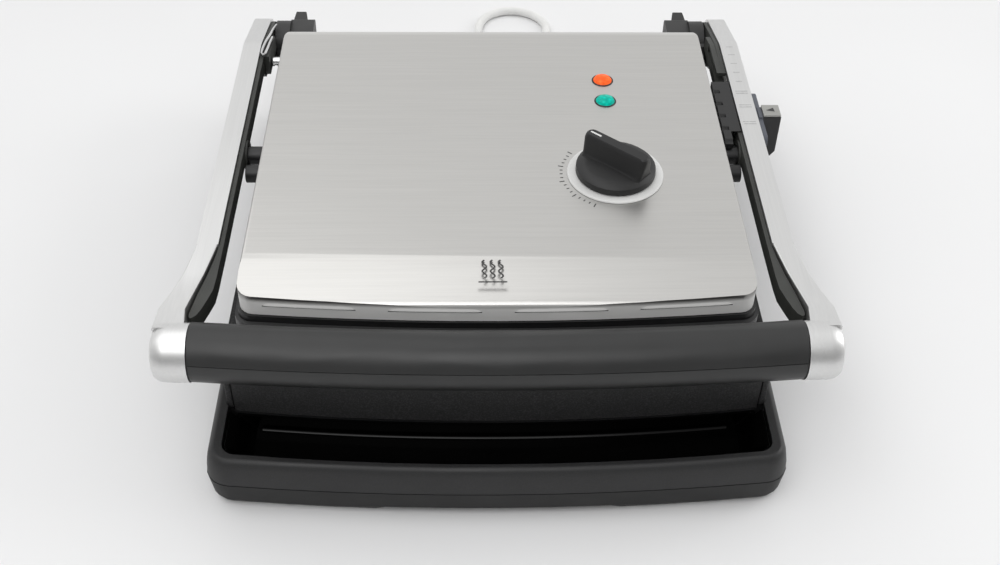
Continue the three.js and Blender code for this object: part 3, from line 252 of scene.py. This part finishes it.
def lid_steel_painted_light():
    """Brushed steel with painted light: a painted highlight along the rolled rear edge, and a painted
    reflection down the bent front and sides, which are painted paler and less metallic where overhead light
    would catch them.
    """
    color = (0.585, 0.578, 0.561)
    made = Finish("brushed_steel_lid_painted_light", color, 0.34, 1.0)
    made.shade(made.noise(700, (0.02, 1, 1), 4.0, 0.65), 0.965, 1.035)
    # painted highlight: the rolled rear edge of the sheet is painted paler
    made.blend(made.along(1, LID_REAR_Y - 7 * MM, LID_REAR_Y - 2 * MM), (0.72, 0.715, 0.7))
    # painted reflection: below the nose bend, the front and side walls are painted paler, less metallic and
    # rougher, standing in for the overhead light they reflect
    wall_painted_light = made.along(2, LID_NOSE_Z, LID_NOSE_Z - 3 * MM)
    made.blend(wall_painted_light, (0.9, 0.895, 0.88))
    made.tree.links.new(made.spread(wall_painted_light, 1.0, 0.12, 0.0, 1.0), made.shader.inputs["Metallic"])
    made.gloss(wall_painted_light, 0.34, 0.6, 0.0, 1.0)
    made.bump(made.noise(3200, (0.02, 1, 1), 2.0, 0.5), 0.000006, 0.6)
    return made.material


def slider_black():
    """Black moulding, with the guide plate against the arm a bluer grey."""
    made = Finish("slider_black", (0.014, 0.014, 0.0145), 0.45)
    made.shade(made.noise(60, detail=4.0), 0.88, 1.12)
    made.blend(made.along(0, PLATE_X, PLATE_X - 0.3 * MM), (0.085, 0.092, 0.11))
    made.bump(made.noise(2400, detail=2.0), 0.00003, 0.5)
    return made.material


LID_NOSE_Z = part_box("lid_cover")[1].z - 6.6 * MM
LID_REAR_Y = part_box("lid_cover")[1].y
PLATE_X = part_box("slider_cap")[0].x
LID_STEEL_PAINTED_LIGHT = lid_steel_painted_light()
SLIDER_BLACK = slider_black()
RACK_BLACK = moulded("rack_black", (0.006, 0.006, 0.0062), 0.4)
CAP_GREY = brushed("slider_cap_grey", (0.37, 0.37, 0.352), 0.42, 0, 0.05, 0.6)
ARM_SILVER = brushed("satin_silver_arms", (0.71, 0.71, 0.705), 0.36, 1, 0.03)
BRIGHT = brushed("bright_steel", (0.72, 0.72, 0.72), 0.18, 0, 0.04)
TIN = brushed("tin_plate", (0.5, 0.51, 0.52), 0.35, 1, 0.12)
BRASS = brushed("plug_pin_brass", (0.72, 0.55, 0.25), 0.25, 2, 0.06)
BLACK = moulded("black_plastic", (0.012, 0.012, 0.0125), 0.42)
KNOB_BLACK = moulded("knob_black", (0.0072, 0.0072, 0.0075), 0.5)
# painted shade: the bottom cover is the plinth's black painted darker, for the shade on its low faces
LOW_BLACK_PAINTED_SHADE = textured_painted_glints("plinth_low_black_painted_shade", (0.0035, 0.0035, 0.0036), 0.6, 1500, 0.00005, 1.6)
RIM_BLACK = textured_painted_glints("plinth_black", (0.0112, 0.0112, 0.0116), 0.5, 1500, 0.00005, 1.7)
APRON_BLACK = textured_painted_glints("apron_black", (0.026, 0.026, 0.0265), 0.62, 1100, 0.0001, 2.6)
GRIP_BLACK = moulded("grip_black", (0.018, 0.0183, 0.0183), 0.4, 1800, 0.00002, 0.08)
LINER_GREY = moulded("liner_grey", (0.034, 0.0355, 0.032), 0.5, 1500, 0.00004, 0.15)
TOWER_GREY = moulded("tower_grey", (0.024, 0.024, 0.024), 0.5, 1500, 0.00005, 0.2)
CAST_BLACK = textured_painted_glints("non_stick_black", (0.018, 0.0175, 0.017), 0.4, 1800, 0.00004, 1.8)
TRAY_BLACK = enamel("tray_gloss_black", (0.0006, 0.0006, 0.0006), 0.16, Specular_IOR_Level=0.18)
RUBBER = moulded("foot_rubber", (0.012, 0.012, 0.012), 0.85, 900, 0.00008, 0.2)
DIAL_WHITE = moulded("dial_white", (0.67, 0.67, 0.66), 0.35, 1200, 0.00001, 0.02)
CORD_GREY = moulded("cord_grey", (0.76, 0.76, 0.745), 0.5, 700, 0.00006, 0.06)
RED_LENS = lens("lamp_orange_red", (0.9, 0.1, 0.02), (1.0, 0.16, 0.03))
GREEN_LENS = lens("lamp_green", (0.0, 0.33, 0.25), (0.0, 0.42, 0.33))
INK = print_ink("black_print", (0.03, 0.03, 0.03))
GREY_INK = print_ink("grey_print", (0.42, 0.42, 0.42))

# ---------------------------------------------------------------- mesh helpers


def new_piece(name, mesh, material, body):
    mesh.materials.append(material)
    piece = bpy.data.objects.new(name, mesh)
    bpy.context.collection.objects.link(piece)
    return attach(piece, body)


def piece_from(name, bm, material, body, smooth=True):
    bmesh.ops.recalc_face_normals(bm, faces=bm.faces)
    mesh = bpy.data.meshes.new(name)
    bm.to_mesh(mesh)
    bm.free()
    if smooth:
        mesh.shade_smooth()
    return new_piece(name, mesh, material, body)


def dress(piece, material):
    """A CAD node, or any piece, takes one material in all its slots."""
    piece.data.materials.clear()
    piece.data.materials.append(material)


def smooth_by_angle():
    """A node group that shades a mesh smooth except along its sharp edges."""
    group = bpy.data.node_groups.new("smooth_by_angle", "GeometryNodeTree")
    group.interface.new_socket("Geometry", in_out="INPUT", socket_type="NodeSocketGeometry")
    group.interface.new_socket("Geometry", in_out="OUTPUT", socket_type="NodeSocketGeometry")
    start = group.nodes.new("NodeGroupInput")
    end = group.nodes.new("NodeGroupOutput")
    faces = group.nodes.new("GeometryNodeSetShadeSmooth")
    faces.domain = "FACE"
    edges = group.nodes.new("GeometryNodeSetShadeSmooth")
    edges.domain = "EDGE"
    angle = group.nodes.new("GeometryNodeInputMeshEdgeAngle")
    flat = group.nodes.new("ShaderNodeMath")
    flat.operation = "LESS_THAN"
    flat.inputs[1].default_value = math.radians(32)
    group.links.new(start.outputs[0], faces.inputs["Geometry"])
    group.links.new(faces.outputs["Geometry"], edges.inputs["Geometry"])
    group.links.new(angle.outputs["Unsigned Angle"], flat.inputs[0])
    group.links.new(flat.outputs[0], edges.inputs["Shade Smooth"])
    group.links.new(edges.outputs["Geometry"], end.inputs[0])
    return group


SMOOTHING = smooth_by_angle()


def soften(piece, width, segments=2):
    """Rounds the sharp edges of a CAD node and shades it smooth; the node's own mesh is left as it is."""
    weld = piece.modifiers.new("join_corners", "WELD")
    weld.merge_threshold = 0.01 * MM
    if width:
        clean = piece.modifiers.new("merge_flats", "DECIMATE")
        clean.decimate_type = "DISSOLVE"
        clean.angle_limit = math.radians(0.6)
        bevel = piece.modifiers.new("edge_round", "BEVEL")
        bevel.width = width
        bevel.segments = segments
        bevel.limit_method = "ANGLE"
        bevel.angle_limit = math.radians(38)
        bevel.harden_normals = False
        bevel.use_clamp_overlap = True
    smooth = piece.modifiers.new("smooth", "NODES")
    smooth.node_group = SMOOTHING
    normals = piece.modifiers.new("flat_faces_lead", "WEIGHTED_NORMAL")
    normals.keep_sharp = True
    normals.weight = 80


def ribbon(bm, points, width, lift):
    """A flat printed line through (x, y) points at height lift."""
    for (x0, y0), (x1, y1) in zip(points, points[1:]):
        run = Vector((x1 - x0, y1 - y0, 0))
        side = Vector((-run.y, run.x, 0)).normalized() * (width / 2)
        corners = [(x0, y0, 1), (x1, y1, 1), (x1, y1, -1), (x0, y0, -1)]
        bm.faces.new([bm.verts.new(Vector((x, y, lift)) + side * way) for x, y, way in corners])


# ---------------------------------------------------------------- cord

CORD_DIAMETER = 6.8 * MM
COIL_CENTRE = Vector((-50.2 * MM, 241 * MM, 0))
COIL_OUTER = 44.2 * MM
COIL_INNER = 37.4 * MM
COIL_LOW = 3.4 * MM
COIL_HIGH = 10.2 * MM
COIL_TURNS = 2 + 1 / 3
POINTS_PER_TURN = 36

# From the strain relief, down to the table and round its loop, to the coil.
CORD_ROUTE = [
    (20, 226, 29),
    (20, 230, 28.9),
    (20.8, 237.5, 27.2),
    (24.5, 249, 21.5),
    (30, 261, 14),
    (36.5, 273, 7.4),
    (43, 284, 4),
    (48, 294, 3.45),
    (50.4, 304, 3.45),
    (49.6, 314.5, 3.45),
    (45, 324.3, 3.45),
    (37.4, 331.9, 3.45),
    (27.6, 336.4, 3.45),
    (16.9, 337, 3.45),
    (6.8, 333.6, 3.45),
    (-1.4, 326.6, 3.45),
    (-6.2, 317, 3.45),
    (-8.2, 305, 3.45),
    (-8.6, 290, 3.45),
    (-7.8, 272, 3.45),
    (-6, 246, 3.45),
]

# From the top of the coil to the plug.
TAIL_ROUTE = [
    (-78.6, 206.4, 10.3),
    (-86, 210.8, 10.2),
    (-93, 215, 9.9),
    (-99.6, 218.8, 9.7),
]


def eased(value, start, end):
    """0 before start, 1 after end, and a smooth step between."""
    share = min(max((value - start) / (end - start), 0), 1)
    return share * share * (3 - 2 * share)


def coil_point(turns):
    angle = -2 * math.pi * turns
    inward = eased(turns, 0.7, 1.0) - eased(turns, 2.0, 2.3)
    radius = COIL_OUTER + (COIL_INNER - COIL_OUTER) * inward
    height = COIL_LOW + (COIL_HIGH - COIL_LOW) * eased(turns, 1.4, 1.7)
    return COIL_CENTRE + Vector((radius * math.cos(angle), radius * math.sin(angle), height))


def through(points, steps):
    """A smooth curve through the points (centripetal Catmull-Rom), as many short steps between each two."""
    ends = [2 * points[0] - points[1], *points, 2 * points[-1] - points[-2]]
    line = []
    for p0, p1, p2, p3 in zip(ends, ends[1:], ends[2:], ends[3:]):
        t1 = (p1 - p0).length ** 0.5
        t2 = t1 + (p2 - p1).length ** 0.5
        t3 = t2 + (p3 - p2).length ** 0.5
        for i in range(steps):
            t = t1 + (t2 - t1) * i / steps
            a1 = p0.lerp(p1, t / t1)
            a2 = p1.lerp(p2, (t - t1) / (t2 - t1))
            a3 = p2.lerp(p3, (t - t2) / (t3 - t2))
            b1 = a1.lerp(a2, t / t2)
            b2 = a2.lerp(a3, (t - t1) / (t3 - t1))
            line.append(b1.lerp(b2, (t - t1) / (t2 - t1)))
    line.append(points[-1])
    return line


def make_cord():
    count = round(COIL_TURNS * POINTS_PER_TURN)
    coil = [coil_point(COIL_TURNS * i / count) for i in range(1, count + 1)]
    route = [Vector(p) * MM for p in CORD_ROUTE] + coil + [Vector(p) * MM for p in TAIL_ROUTE]
    line = through(route, 4)
    curve = bpy.data.curves.new("mains_cord", "CURVE")
    curve.dimensions = "3D"
    curve.bevel_depth = CORD_DIAMETER / 2
    curve.bevel_resolution = 5
    curve.use_fill_caps = True
    spline = curve.splines.new("POLY")
    spline.points.add(len(line) - 1)
    for point, place in zip(spline.points, line):
        point.co = (*place, 1)
    curve.materials.append(CORD_GREY)
    piece = bpy.data.objects.new("mains_cord", curve)
    bpy.context.collection.objects.link(piece)
    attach(piece, "base")
    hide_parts("cord", "cord_coil", "cord_tail")


make_cord()

# ---------------------------------------------------------------- CAD nodes

# Each node's material and the rounding of its edges in millimetres.
DRESSED = {
    "base_shell": (RIM_BLACK, 0.8),
    "base_bottom_cover": (LOW_BLACK_PAINTED_SHADE, 0.7),
    "apron_front": (APRON_BLACK, 0.6),
    "side_panel_left": (APRON_BLACK, 0.8),
    "side_panel_right": (APRON_BLACK, 0.8),
    "lower_plate": (CAST_BLACK, 0.5),
    "lower_element": (TIN, 0),
    "lower_reflector": (TIN, 0),
    "hinge_tower_left": (TOWER_GREY, 1.2),
    "hinge_tower_right": (TOWER_GREY, 1.2),
    "hinge_pin_left": (BRIGHT, 0.4),
    "hinge_pin_right": (BRIGHT, 0.4),
    "rear_stand_left": (TOWER_GREY, 0.6),
    "rear_stand_right": (TOWER_GREY, 0.6),
    "height_post": (BLACK, 0.5),
    "foot_front_left": (RUBBER, 0),
    "foot_front_right": (RUBBER, 0),
    "foot_rear_left": (RUBBER, 0),
    "foot_rear_right": (RUBBER, 0),
    "strain_relief": (CORD_GREY, 0.4),
    "plug_body": (CORD_GREY, 1.6),
    "plug_pin_earth": (BRASS, 0.4),
    "plug_pin_left": (BRASS, 0.4),
    "plug_pin_right": (BRASS, 0.4),
    "drip_tray": (TRAY_BLACK, 0.4),
    "arm_left": (ARM_SILVER, 0.9),
    "arm_right": (ARM_SILVER, 0.9),
    "arm_liner_left": (LINER_GREY, 0.5),
    "arm_liner_right": (LINER_GREY, 0.5),
    "hinge_cap_left": (LINER_GREY, 0.5),
    "hinge_cap_right": (LINER_GREY, 0.5),
    "grip_core": (TIN, 0),
    "grip_upper": (GRIP_BLACK, 0.35),
    "grip_lower": (GRIP_BLACK, 0.35),
    "latch_wire": (BRIGHT, 0),
    "slider_rack": (RACK_BLACK, 0.4),
    "slider_block": (SLIDER_BLACK, 0.6),
    "slider_cap": (CAP_GREY, 0.3),
    "lid_cover": (LID_STEEL_PAINTED_LIGHT, 0),
    "lid_frame": (BLACK, 0.5),
    "upper_plate": (CAST_BLACK, 0.5),
    "upper_element": (TIN, 0),
    "upper_reflector": (TIN, 0),
    "pivot_pin_left": (BLACK, 0.4),
    "pivot_pin_right": (BLACK, 0.4),
    "stop_pin_left": (BLACK, 0.4),
    "stop_pin_right": (BLACK, 0.4),
    "guide_pin": (BRIGHT, 0.5),
    "thermostat": (TIN, 0),
    "dial_ring": (DIAL_WHITE, 0),
    "lamp_power": (RED_LENS, 0),
    "lamp_ready": (GREEN_LENS, 0),
    "lamp_board": (CAST_BLACK, 0),
    "knob": (KNOB_BLACK, 0.3),
}

for name, (material, rounding) in DRESSED.items():
    dress(NODES[name], material)
    soften(NODES[name], rounding * MM)

# ---------------------------------------------------------------- lid details

LID_LOW, LID_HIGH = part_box("lid_cover")
LID_TOP = LID_HIGH.z
LID_BOW = 7 * MM
INK_LIFT = 0.06 * MM


HEAT_MARK_CENTRE = Vector((-3 * MM, -117 * MM))
HEAT_LINE_HEIGHT = 15 * MM
HEAT_LINE_PITCH = 4.6 * MM
HEAT_LINE_SWAY = 1.3 * MM
HEAT_LINE_STEPS = 16
HEAT_BAR_HALF = 8 * MM
HEAT_BAR_BELOW = 10.6 * MM
HEAT_INK_WIDTH = 1.1 * MM


def heat_mark():
    """Three wavy lines rising from a short bar, the usual sign for warmth."""
    bm = bmesh.new()
    centre = HEAT_MARK_CENTRE
    for column in (-1, 0, 1):
        points = []
        for i in range(HEAT_LINE_STEPS + 1):
            share = i / HEAT_LINE_STEPS
            sway = HEAT_LINE_SWAY * math.sin(share * 4 * math.pi)
            x = centre.x + column * HEAT_LINE_PITCH + sway
            points.append((x, centre.y + (share - 0.5) * HEAT_LINE_HEIGHT))
        ribbon(bm, points, HEAT_INK_WIDTH, LID_TOP + INK_LIFT)
    bar_y = centre.y - HEAT_BAR_BELOW
    bar = [(centre.x - HEAT_BAR_HALF, bar_y), (centre.x + HEAT_BAR_HALF, bar_y)]
    ribbon(bm, bar, HEAT_INK_WIDTH, LID_TOP + INK_LIFT)
    piece_from("heat_mark", bm, INK, "lid", smooth=False)


DIAL_TICKS = 17
DIAL_FIRST_TICK = 142  # degrees
DIAL_TICK_PITCH = 6.4  # degrees


def dial_scale():
    """A scale of ticks on the lid around the left of the dial, with every fourth one longer."""
    bm = bmesh.new()
    centre = middle("dial_ring")
    inner = (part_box("dial_ring")[1].x - centre.x) + 2.6 * MM
    for i in range(DIAL_TICKS):
        angle = math.radians(DIAL_FIRST_TICK + i * DIAL_TICK_PITCH)
        long = 3.2 * MM if i % 4 == 0 else 1.8 * MM
        direction = Vector((math.cos(angle), math.sin(angle)))
        start = Vector((centre.x, centre.y)) + direction * inner
        ribbon(bm, [start, start + direction * long], 0.7 * MM, LID_TOP + INK_LIFT)
    piece_from("dial_scale", bm, INK, "lid", smooth=False)


def lid_wall(x, ahead, z):
    """A point that far ahead of the lid's bowed front wall."""
    return Vector((x, LID_LOW.y + LID_BOW * (x / LID_HIGH.x) ** 2 - ahead, z))


def patch(bm, rows):
    """A surface through rows of points that match one for one."""
    made = [[bm.verts.new(point) for point in row] for row in rows]
    for near, far in zip(made, made[1:]):
        for a, b, c, d in zip(near, near[1:], far[1:], far):
            bm.faces.new((a, b, c, d))


LOUVRE_MIDDLES = (-105 * MM, -35 * MM, 35 * MM, 105 * MM)
LOUVRE_LENGTH = 52 * MM
LOUVRE_Z = 100.6 * MM
HOOD_HEIGHT = 2.2 * MM
HOOD_DEPTH = 0.5 * MM
HOOD_COLUMNS = 26
HOOD_ROWS = 6
SLOT_HEIGHT = 0.7 * MM
SLOT_COLUMNS = 12


def louvres():
    """Four pressed air slots across the lid's front wall, each under a low hood; each slot is a flat black
    strip, painted shade for the dark opening.
    """
    hoods = bmesh.new()
    slot_shade = bmesh.new()
    for centre in LOUVRE_MIDDLES:
        rows = []
        for i in range(HOOD_COLUMNS + 1):
            share = i / HOOD_COLUMNS * 2 - 1
            x = centre + share * LOUVRE_LENGTH / 2
            swell = math.sqrt(max(1 - share**8, 0))
            row = []
            for j in range(HOOD_ROWS + 1):
                fall = j / HOOD_ROWS
                out = HOOD_DEPTH * swell * math.sin(fall * math.pi / 2) ** 1.6
                row.append(lid_wall(x, out + 0.02 * MM, LOUVRE_Z + (1 - fall) * HOOD_HEIGHT * swell))
            rows.append(row)
        patch(hoods, rows)
        # painted shade: each slot is a flat black strip laid just ahead of the wall
        across = [centre + (i / SLOT_COLUMNS - 0.5) * LOUVRE_LENGTH for i in range(SLOT_COLUMNS + 1)]
        low = [lid_wall(x, 0.08 * MM, LOUVRE_Z - SLOT_HEIGHT) for x in across]
        high = [lid_wall(x, 0.08 * MM, LOUVRE_Z) for x in across]
        patch(slot_shade, [low, high])
    piece_from("louvre_hoods", hoods, LID_STEEL_PAINTED_LIGHT, "lid")
    piece_from("louvre_slot_shade", slot_shade, INK, "lid", smooth=False)


# How far each ring of the bezel stands out from the lens and up from the lid, in millimetres.
BEZEL_RINGS = ((0.1, 0.5), (0.7, 0.5), (1.0, 0.05))
BEZEL_SIDES = 40


def lamp_bezels():
    """A thin dark ring round each lamp."""
    bm = bmesh.new()
    for name in ("lamp_power", "lamp_ready"):
        low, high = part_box(name)
        centre = (low + high) / 2
        radius = (high.x - low.x) / 2
        rings = []
        for reach, lift in BEZEL_RINGS:
            spread = radius + reach * MM
            ring = []
            for i in range(BEZEL_SIDES + 1):
                angle = math.radians(360 / BEZEL_SIDES * i)
                x = centre.x + spread * math.cos(angle)
                y = centre.y + spread * math.sin(angle)
                ring.append(Vector((x, y, LID_TOP + lift * MM)))
            rings.append(ring)
        patch(bm, rings)
    piece_from("lamp_bezels", bm, BLACK, "lid")


KNOB_TURN = 41  # degrees clockwise at rest


def knob_pointer():
    """A pale line on top of the knob's grip, at its upper left end."""
    low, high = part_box("knob")
    centre = (low + high) / 2
    reach = (high.x - low.x) / 2
    turn = math.radians(180 - KNOB_TURN)
    direction = Vector((math.cos(turn), math.sin(turn)))
    start = Vector((centre.x, centre.y)) + direction * reach * 0.5
    bm = bmesh.new()
    ribbon(bm, [start, start + direction * reach * 0.32], 1.3 * MM, high.z + INK_LIFT)
    piece_from("knob_pointer", bm, DIAL_WHITE, "control_knob", smooth=False)


heat_mark()
dial_scale()
louvres()
lamp_bezels()
knob_pointer()

# ---------------------------------------------------------------- tray, arm and slider details


TRAY_WALL = 1.5 * MM
TRAY_TO_APRON = 2.2 * MM
FRONT_BOW = 9 * MM
FOLD_START_X = -137 * MM
FOLD_LENGTH = 272 * MM
FOLD_RADIUS = 3.2 * MM
FOLD_LIFT = 0.05 * MM
FOLD_COLUMNS = 40
FOLD_STEPS = 6


def tray_fold():
    """The glossy curve between the tray's floor and its back wall."""
    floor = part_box("drip_tray")[0].z + TRAY_WALL
    apron_low, apron_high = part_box("apron_front")
    bm = bmesh.new()
    rows = []
    for i in range(FOLD_COLUMNS + 1):
        x = FOLD_START_X + i / FOLD_COLUMNS * FOLD_LENGTH
        face = apron_low.y - TRAY_TO_APRON + FRONT_BOW * (x / apron_high.x) ** 2
        row = []
        for j in range(FOLD_STEPS + 1):
            angle = math.radians(90 / FOLD_STEPS * j)
            y = face - FOLD_RADIUS + FOLD_RADIUS * math.sin(angle) - FOLD_LIFT
            z = floor + FOLD_RADIUS - FOLD_RADIUS * math.cos(angle) + FOLD_LIFT
            row.append(Vector((x, y, z)))
        rows.append(row)
    patch(bm, rows)
    piece_from("tray_fold", bm, TRAY_BLACK, "tray")


def slider_arrow():
    """An arrow on the slider's cap that points at the arm's scale."""
    low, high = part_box("slider_cap")
    centre = (low + high) / 2
    z = high.z + INK_LIFT
    bm = bmesh.new()
    tip = Vector((centre.x - 3.6 * MM, centre.y - 0.4 * MM, z))
    upper = Vector((centre.x + 1.6 * MM, centre.y + 2.6 * MM, z))
    lower = Vector((centre.x + 2.2 * MM, centre.y - 1.8 * MM, z))
    bm.faces.new([bm.verts.new(p) for p in (tip, lower, upper)])
    piece_from("slider_arrow", bm, INK, "height_slider", smooth=False)


ARM_TOP = 100 * MM
LID_TO_ARM = 17.5 * MM
# Where the marks stand along the arm, in millimetres.
SETTING_MARKS = (38, 57, 73)
STEP_MARKS = (86, 97, 108, 119, 129)


def arm_scale():
    """Plain marks on the right arm: three settings in front, and the steps of the rack behind them."""
    inner = LID_HIGH.x + LID_TO_ARM
    bm = bmesh.new()
    for y in SETTING_MARKS:
        for shift in (-1.2, 1.2):
            start = inner + 2 * MM
            line = [(start, (y + shift) * MM), (start + 8.4 * MM, (y + shift) * MM)]
            ribbon(bm, line, 0.7 * MM, ARM_TOP + INK_LIFT)
    for y in STEP_MARKS:
        start = inner + 4 * MM
        ribbon(bm, [(start, y * MM), (start + 4.6 * MM, y * MM)], 0.6 * MM, ARM_TOP + INK_LIFT)
    piece_from("arm_scale", bm, GREY_INK, "arms", smooth=False)


tray_fold()
slider_arrow()
arm_scale()

# ---------------------------------------------------------------- table, light


TABLE_REACH = 6


def make_table():
    bm = bmesh.new()
    bmesh.ops.create_grid(bm, x_segments=1, y_segments=1, size=TABLE_REACH)
    mesh = bpy.data.meshes.new("table")
    bm.to_mesh(mesh)
    bm.free()
    white = Finish("table_white", (0.8, 0.8, 0.803), 0.55)
    white.shade(white.noise(3, detail=2.0), 0.985, 1.015)
    mesh.materials.append(white.material)
    table = bpy.data.objects.new("table", mesh)
    bpy.context.collection.objects.link(table)


def soft_box(name, place, aim, size, power):
    light = bpy.data.lights.new(name, "AREA")
    light.shape = "RECTANGLE"
    light.size, light.size_y = size
    light.energy = power
    lamp = bpy.data.objects.new(name, light)
    lamp.location = place
    lamp.rotation_euler = (Vector(aim) - Vector(place)).to_track_quat("-Z", "Y").to_euler()
    bpy.context.collection.objects.link(lamp)


# The studio is darker ahead of the press (low Y) than behind it: from and to in Y, then in brightness.
FRONT_DIMMING = (-0.85, 0.2, 0.36, 0.85)


def make_light():
    world = bpy.data.worlds.new("studio")
    world.use_nodes = True
    tree = world.node_tree
    back = tree.nodes["Background"]
    where = tree.nodes.new("ShaderNodeTexCoord")
    parts = tree.nodes.new("ShaderNodeSeparateXYZ")
    tree.links.new(where.outputs["Generated"], parts.inputs["Vector"])
    front = tree.nodes.new("ShaderNodeMapRange")
    front.interpolation_type = "SMOOTHSTEP"
    for socket, value in zip(("From Min", "From Max", "To Min", "To Max"), FRONT_DIMMING):
        front.inputs[socket].default_value = value
    tree.links.new(parts.outputs["Y"], front.inputs["Value"])
    tree.links.new(front.outputs["Result"], back.inputs["Strength"])
    back.inputs["Color"].default_value = (1.0, 1.0, 1.0, 1)
    bpy.context.scene.world = world
    soft_box("key_overhead_left", (-0.72, 0.45, 1.9), (-0.05, 0.0, 0.05), (1.9, 1.3), 6.5)
    soft_box("overhead_front", (-0.45, -0.8, 2.0), (-0.05, 0.0, 0.05), (1.6, 1.2), 8)
    soft_box("fill_right", (1.5, 0.3, 0.9), (0.1, 0.1, 0.0), (0.9, 0.9), 6)
    soft_box("fill_front", (-0.25, -1.15, 1.45), (0, -0.1, 0.05), (1.3, 0.7), 5)
    bpy.context.scene.view_settings.view_transform = "Standard"


make_table()
make_light()
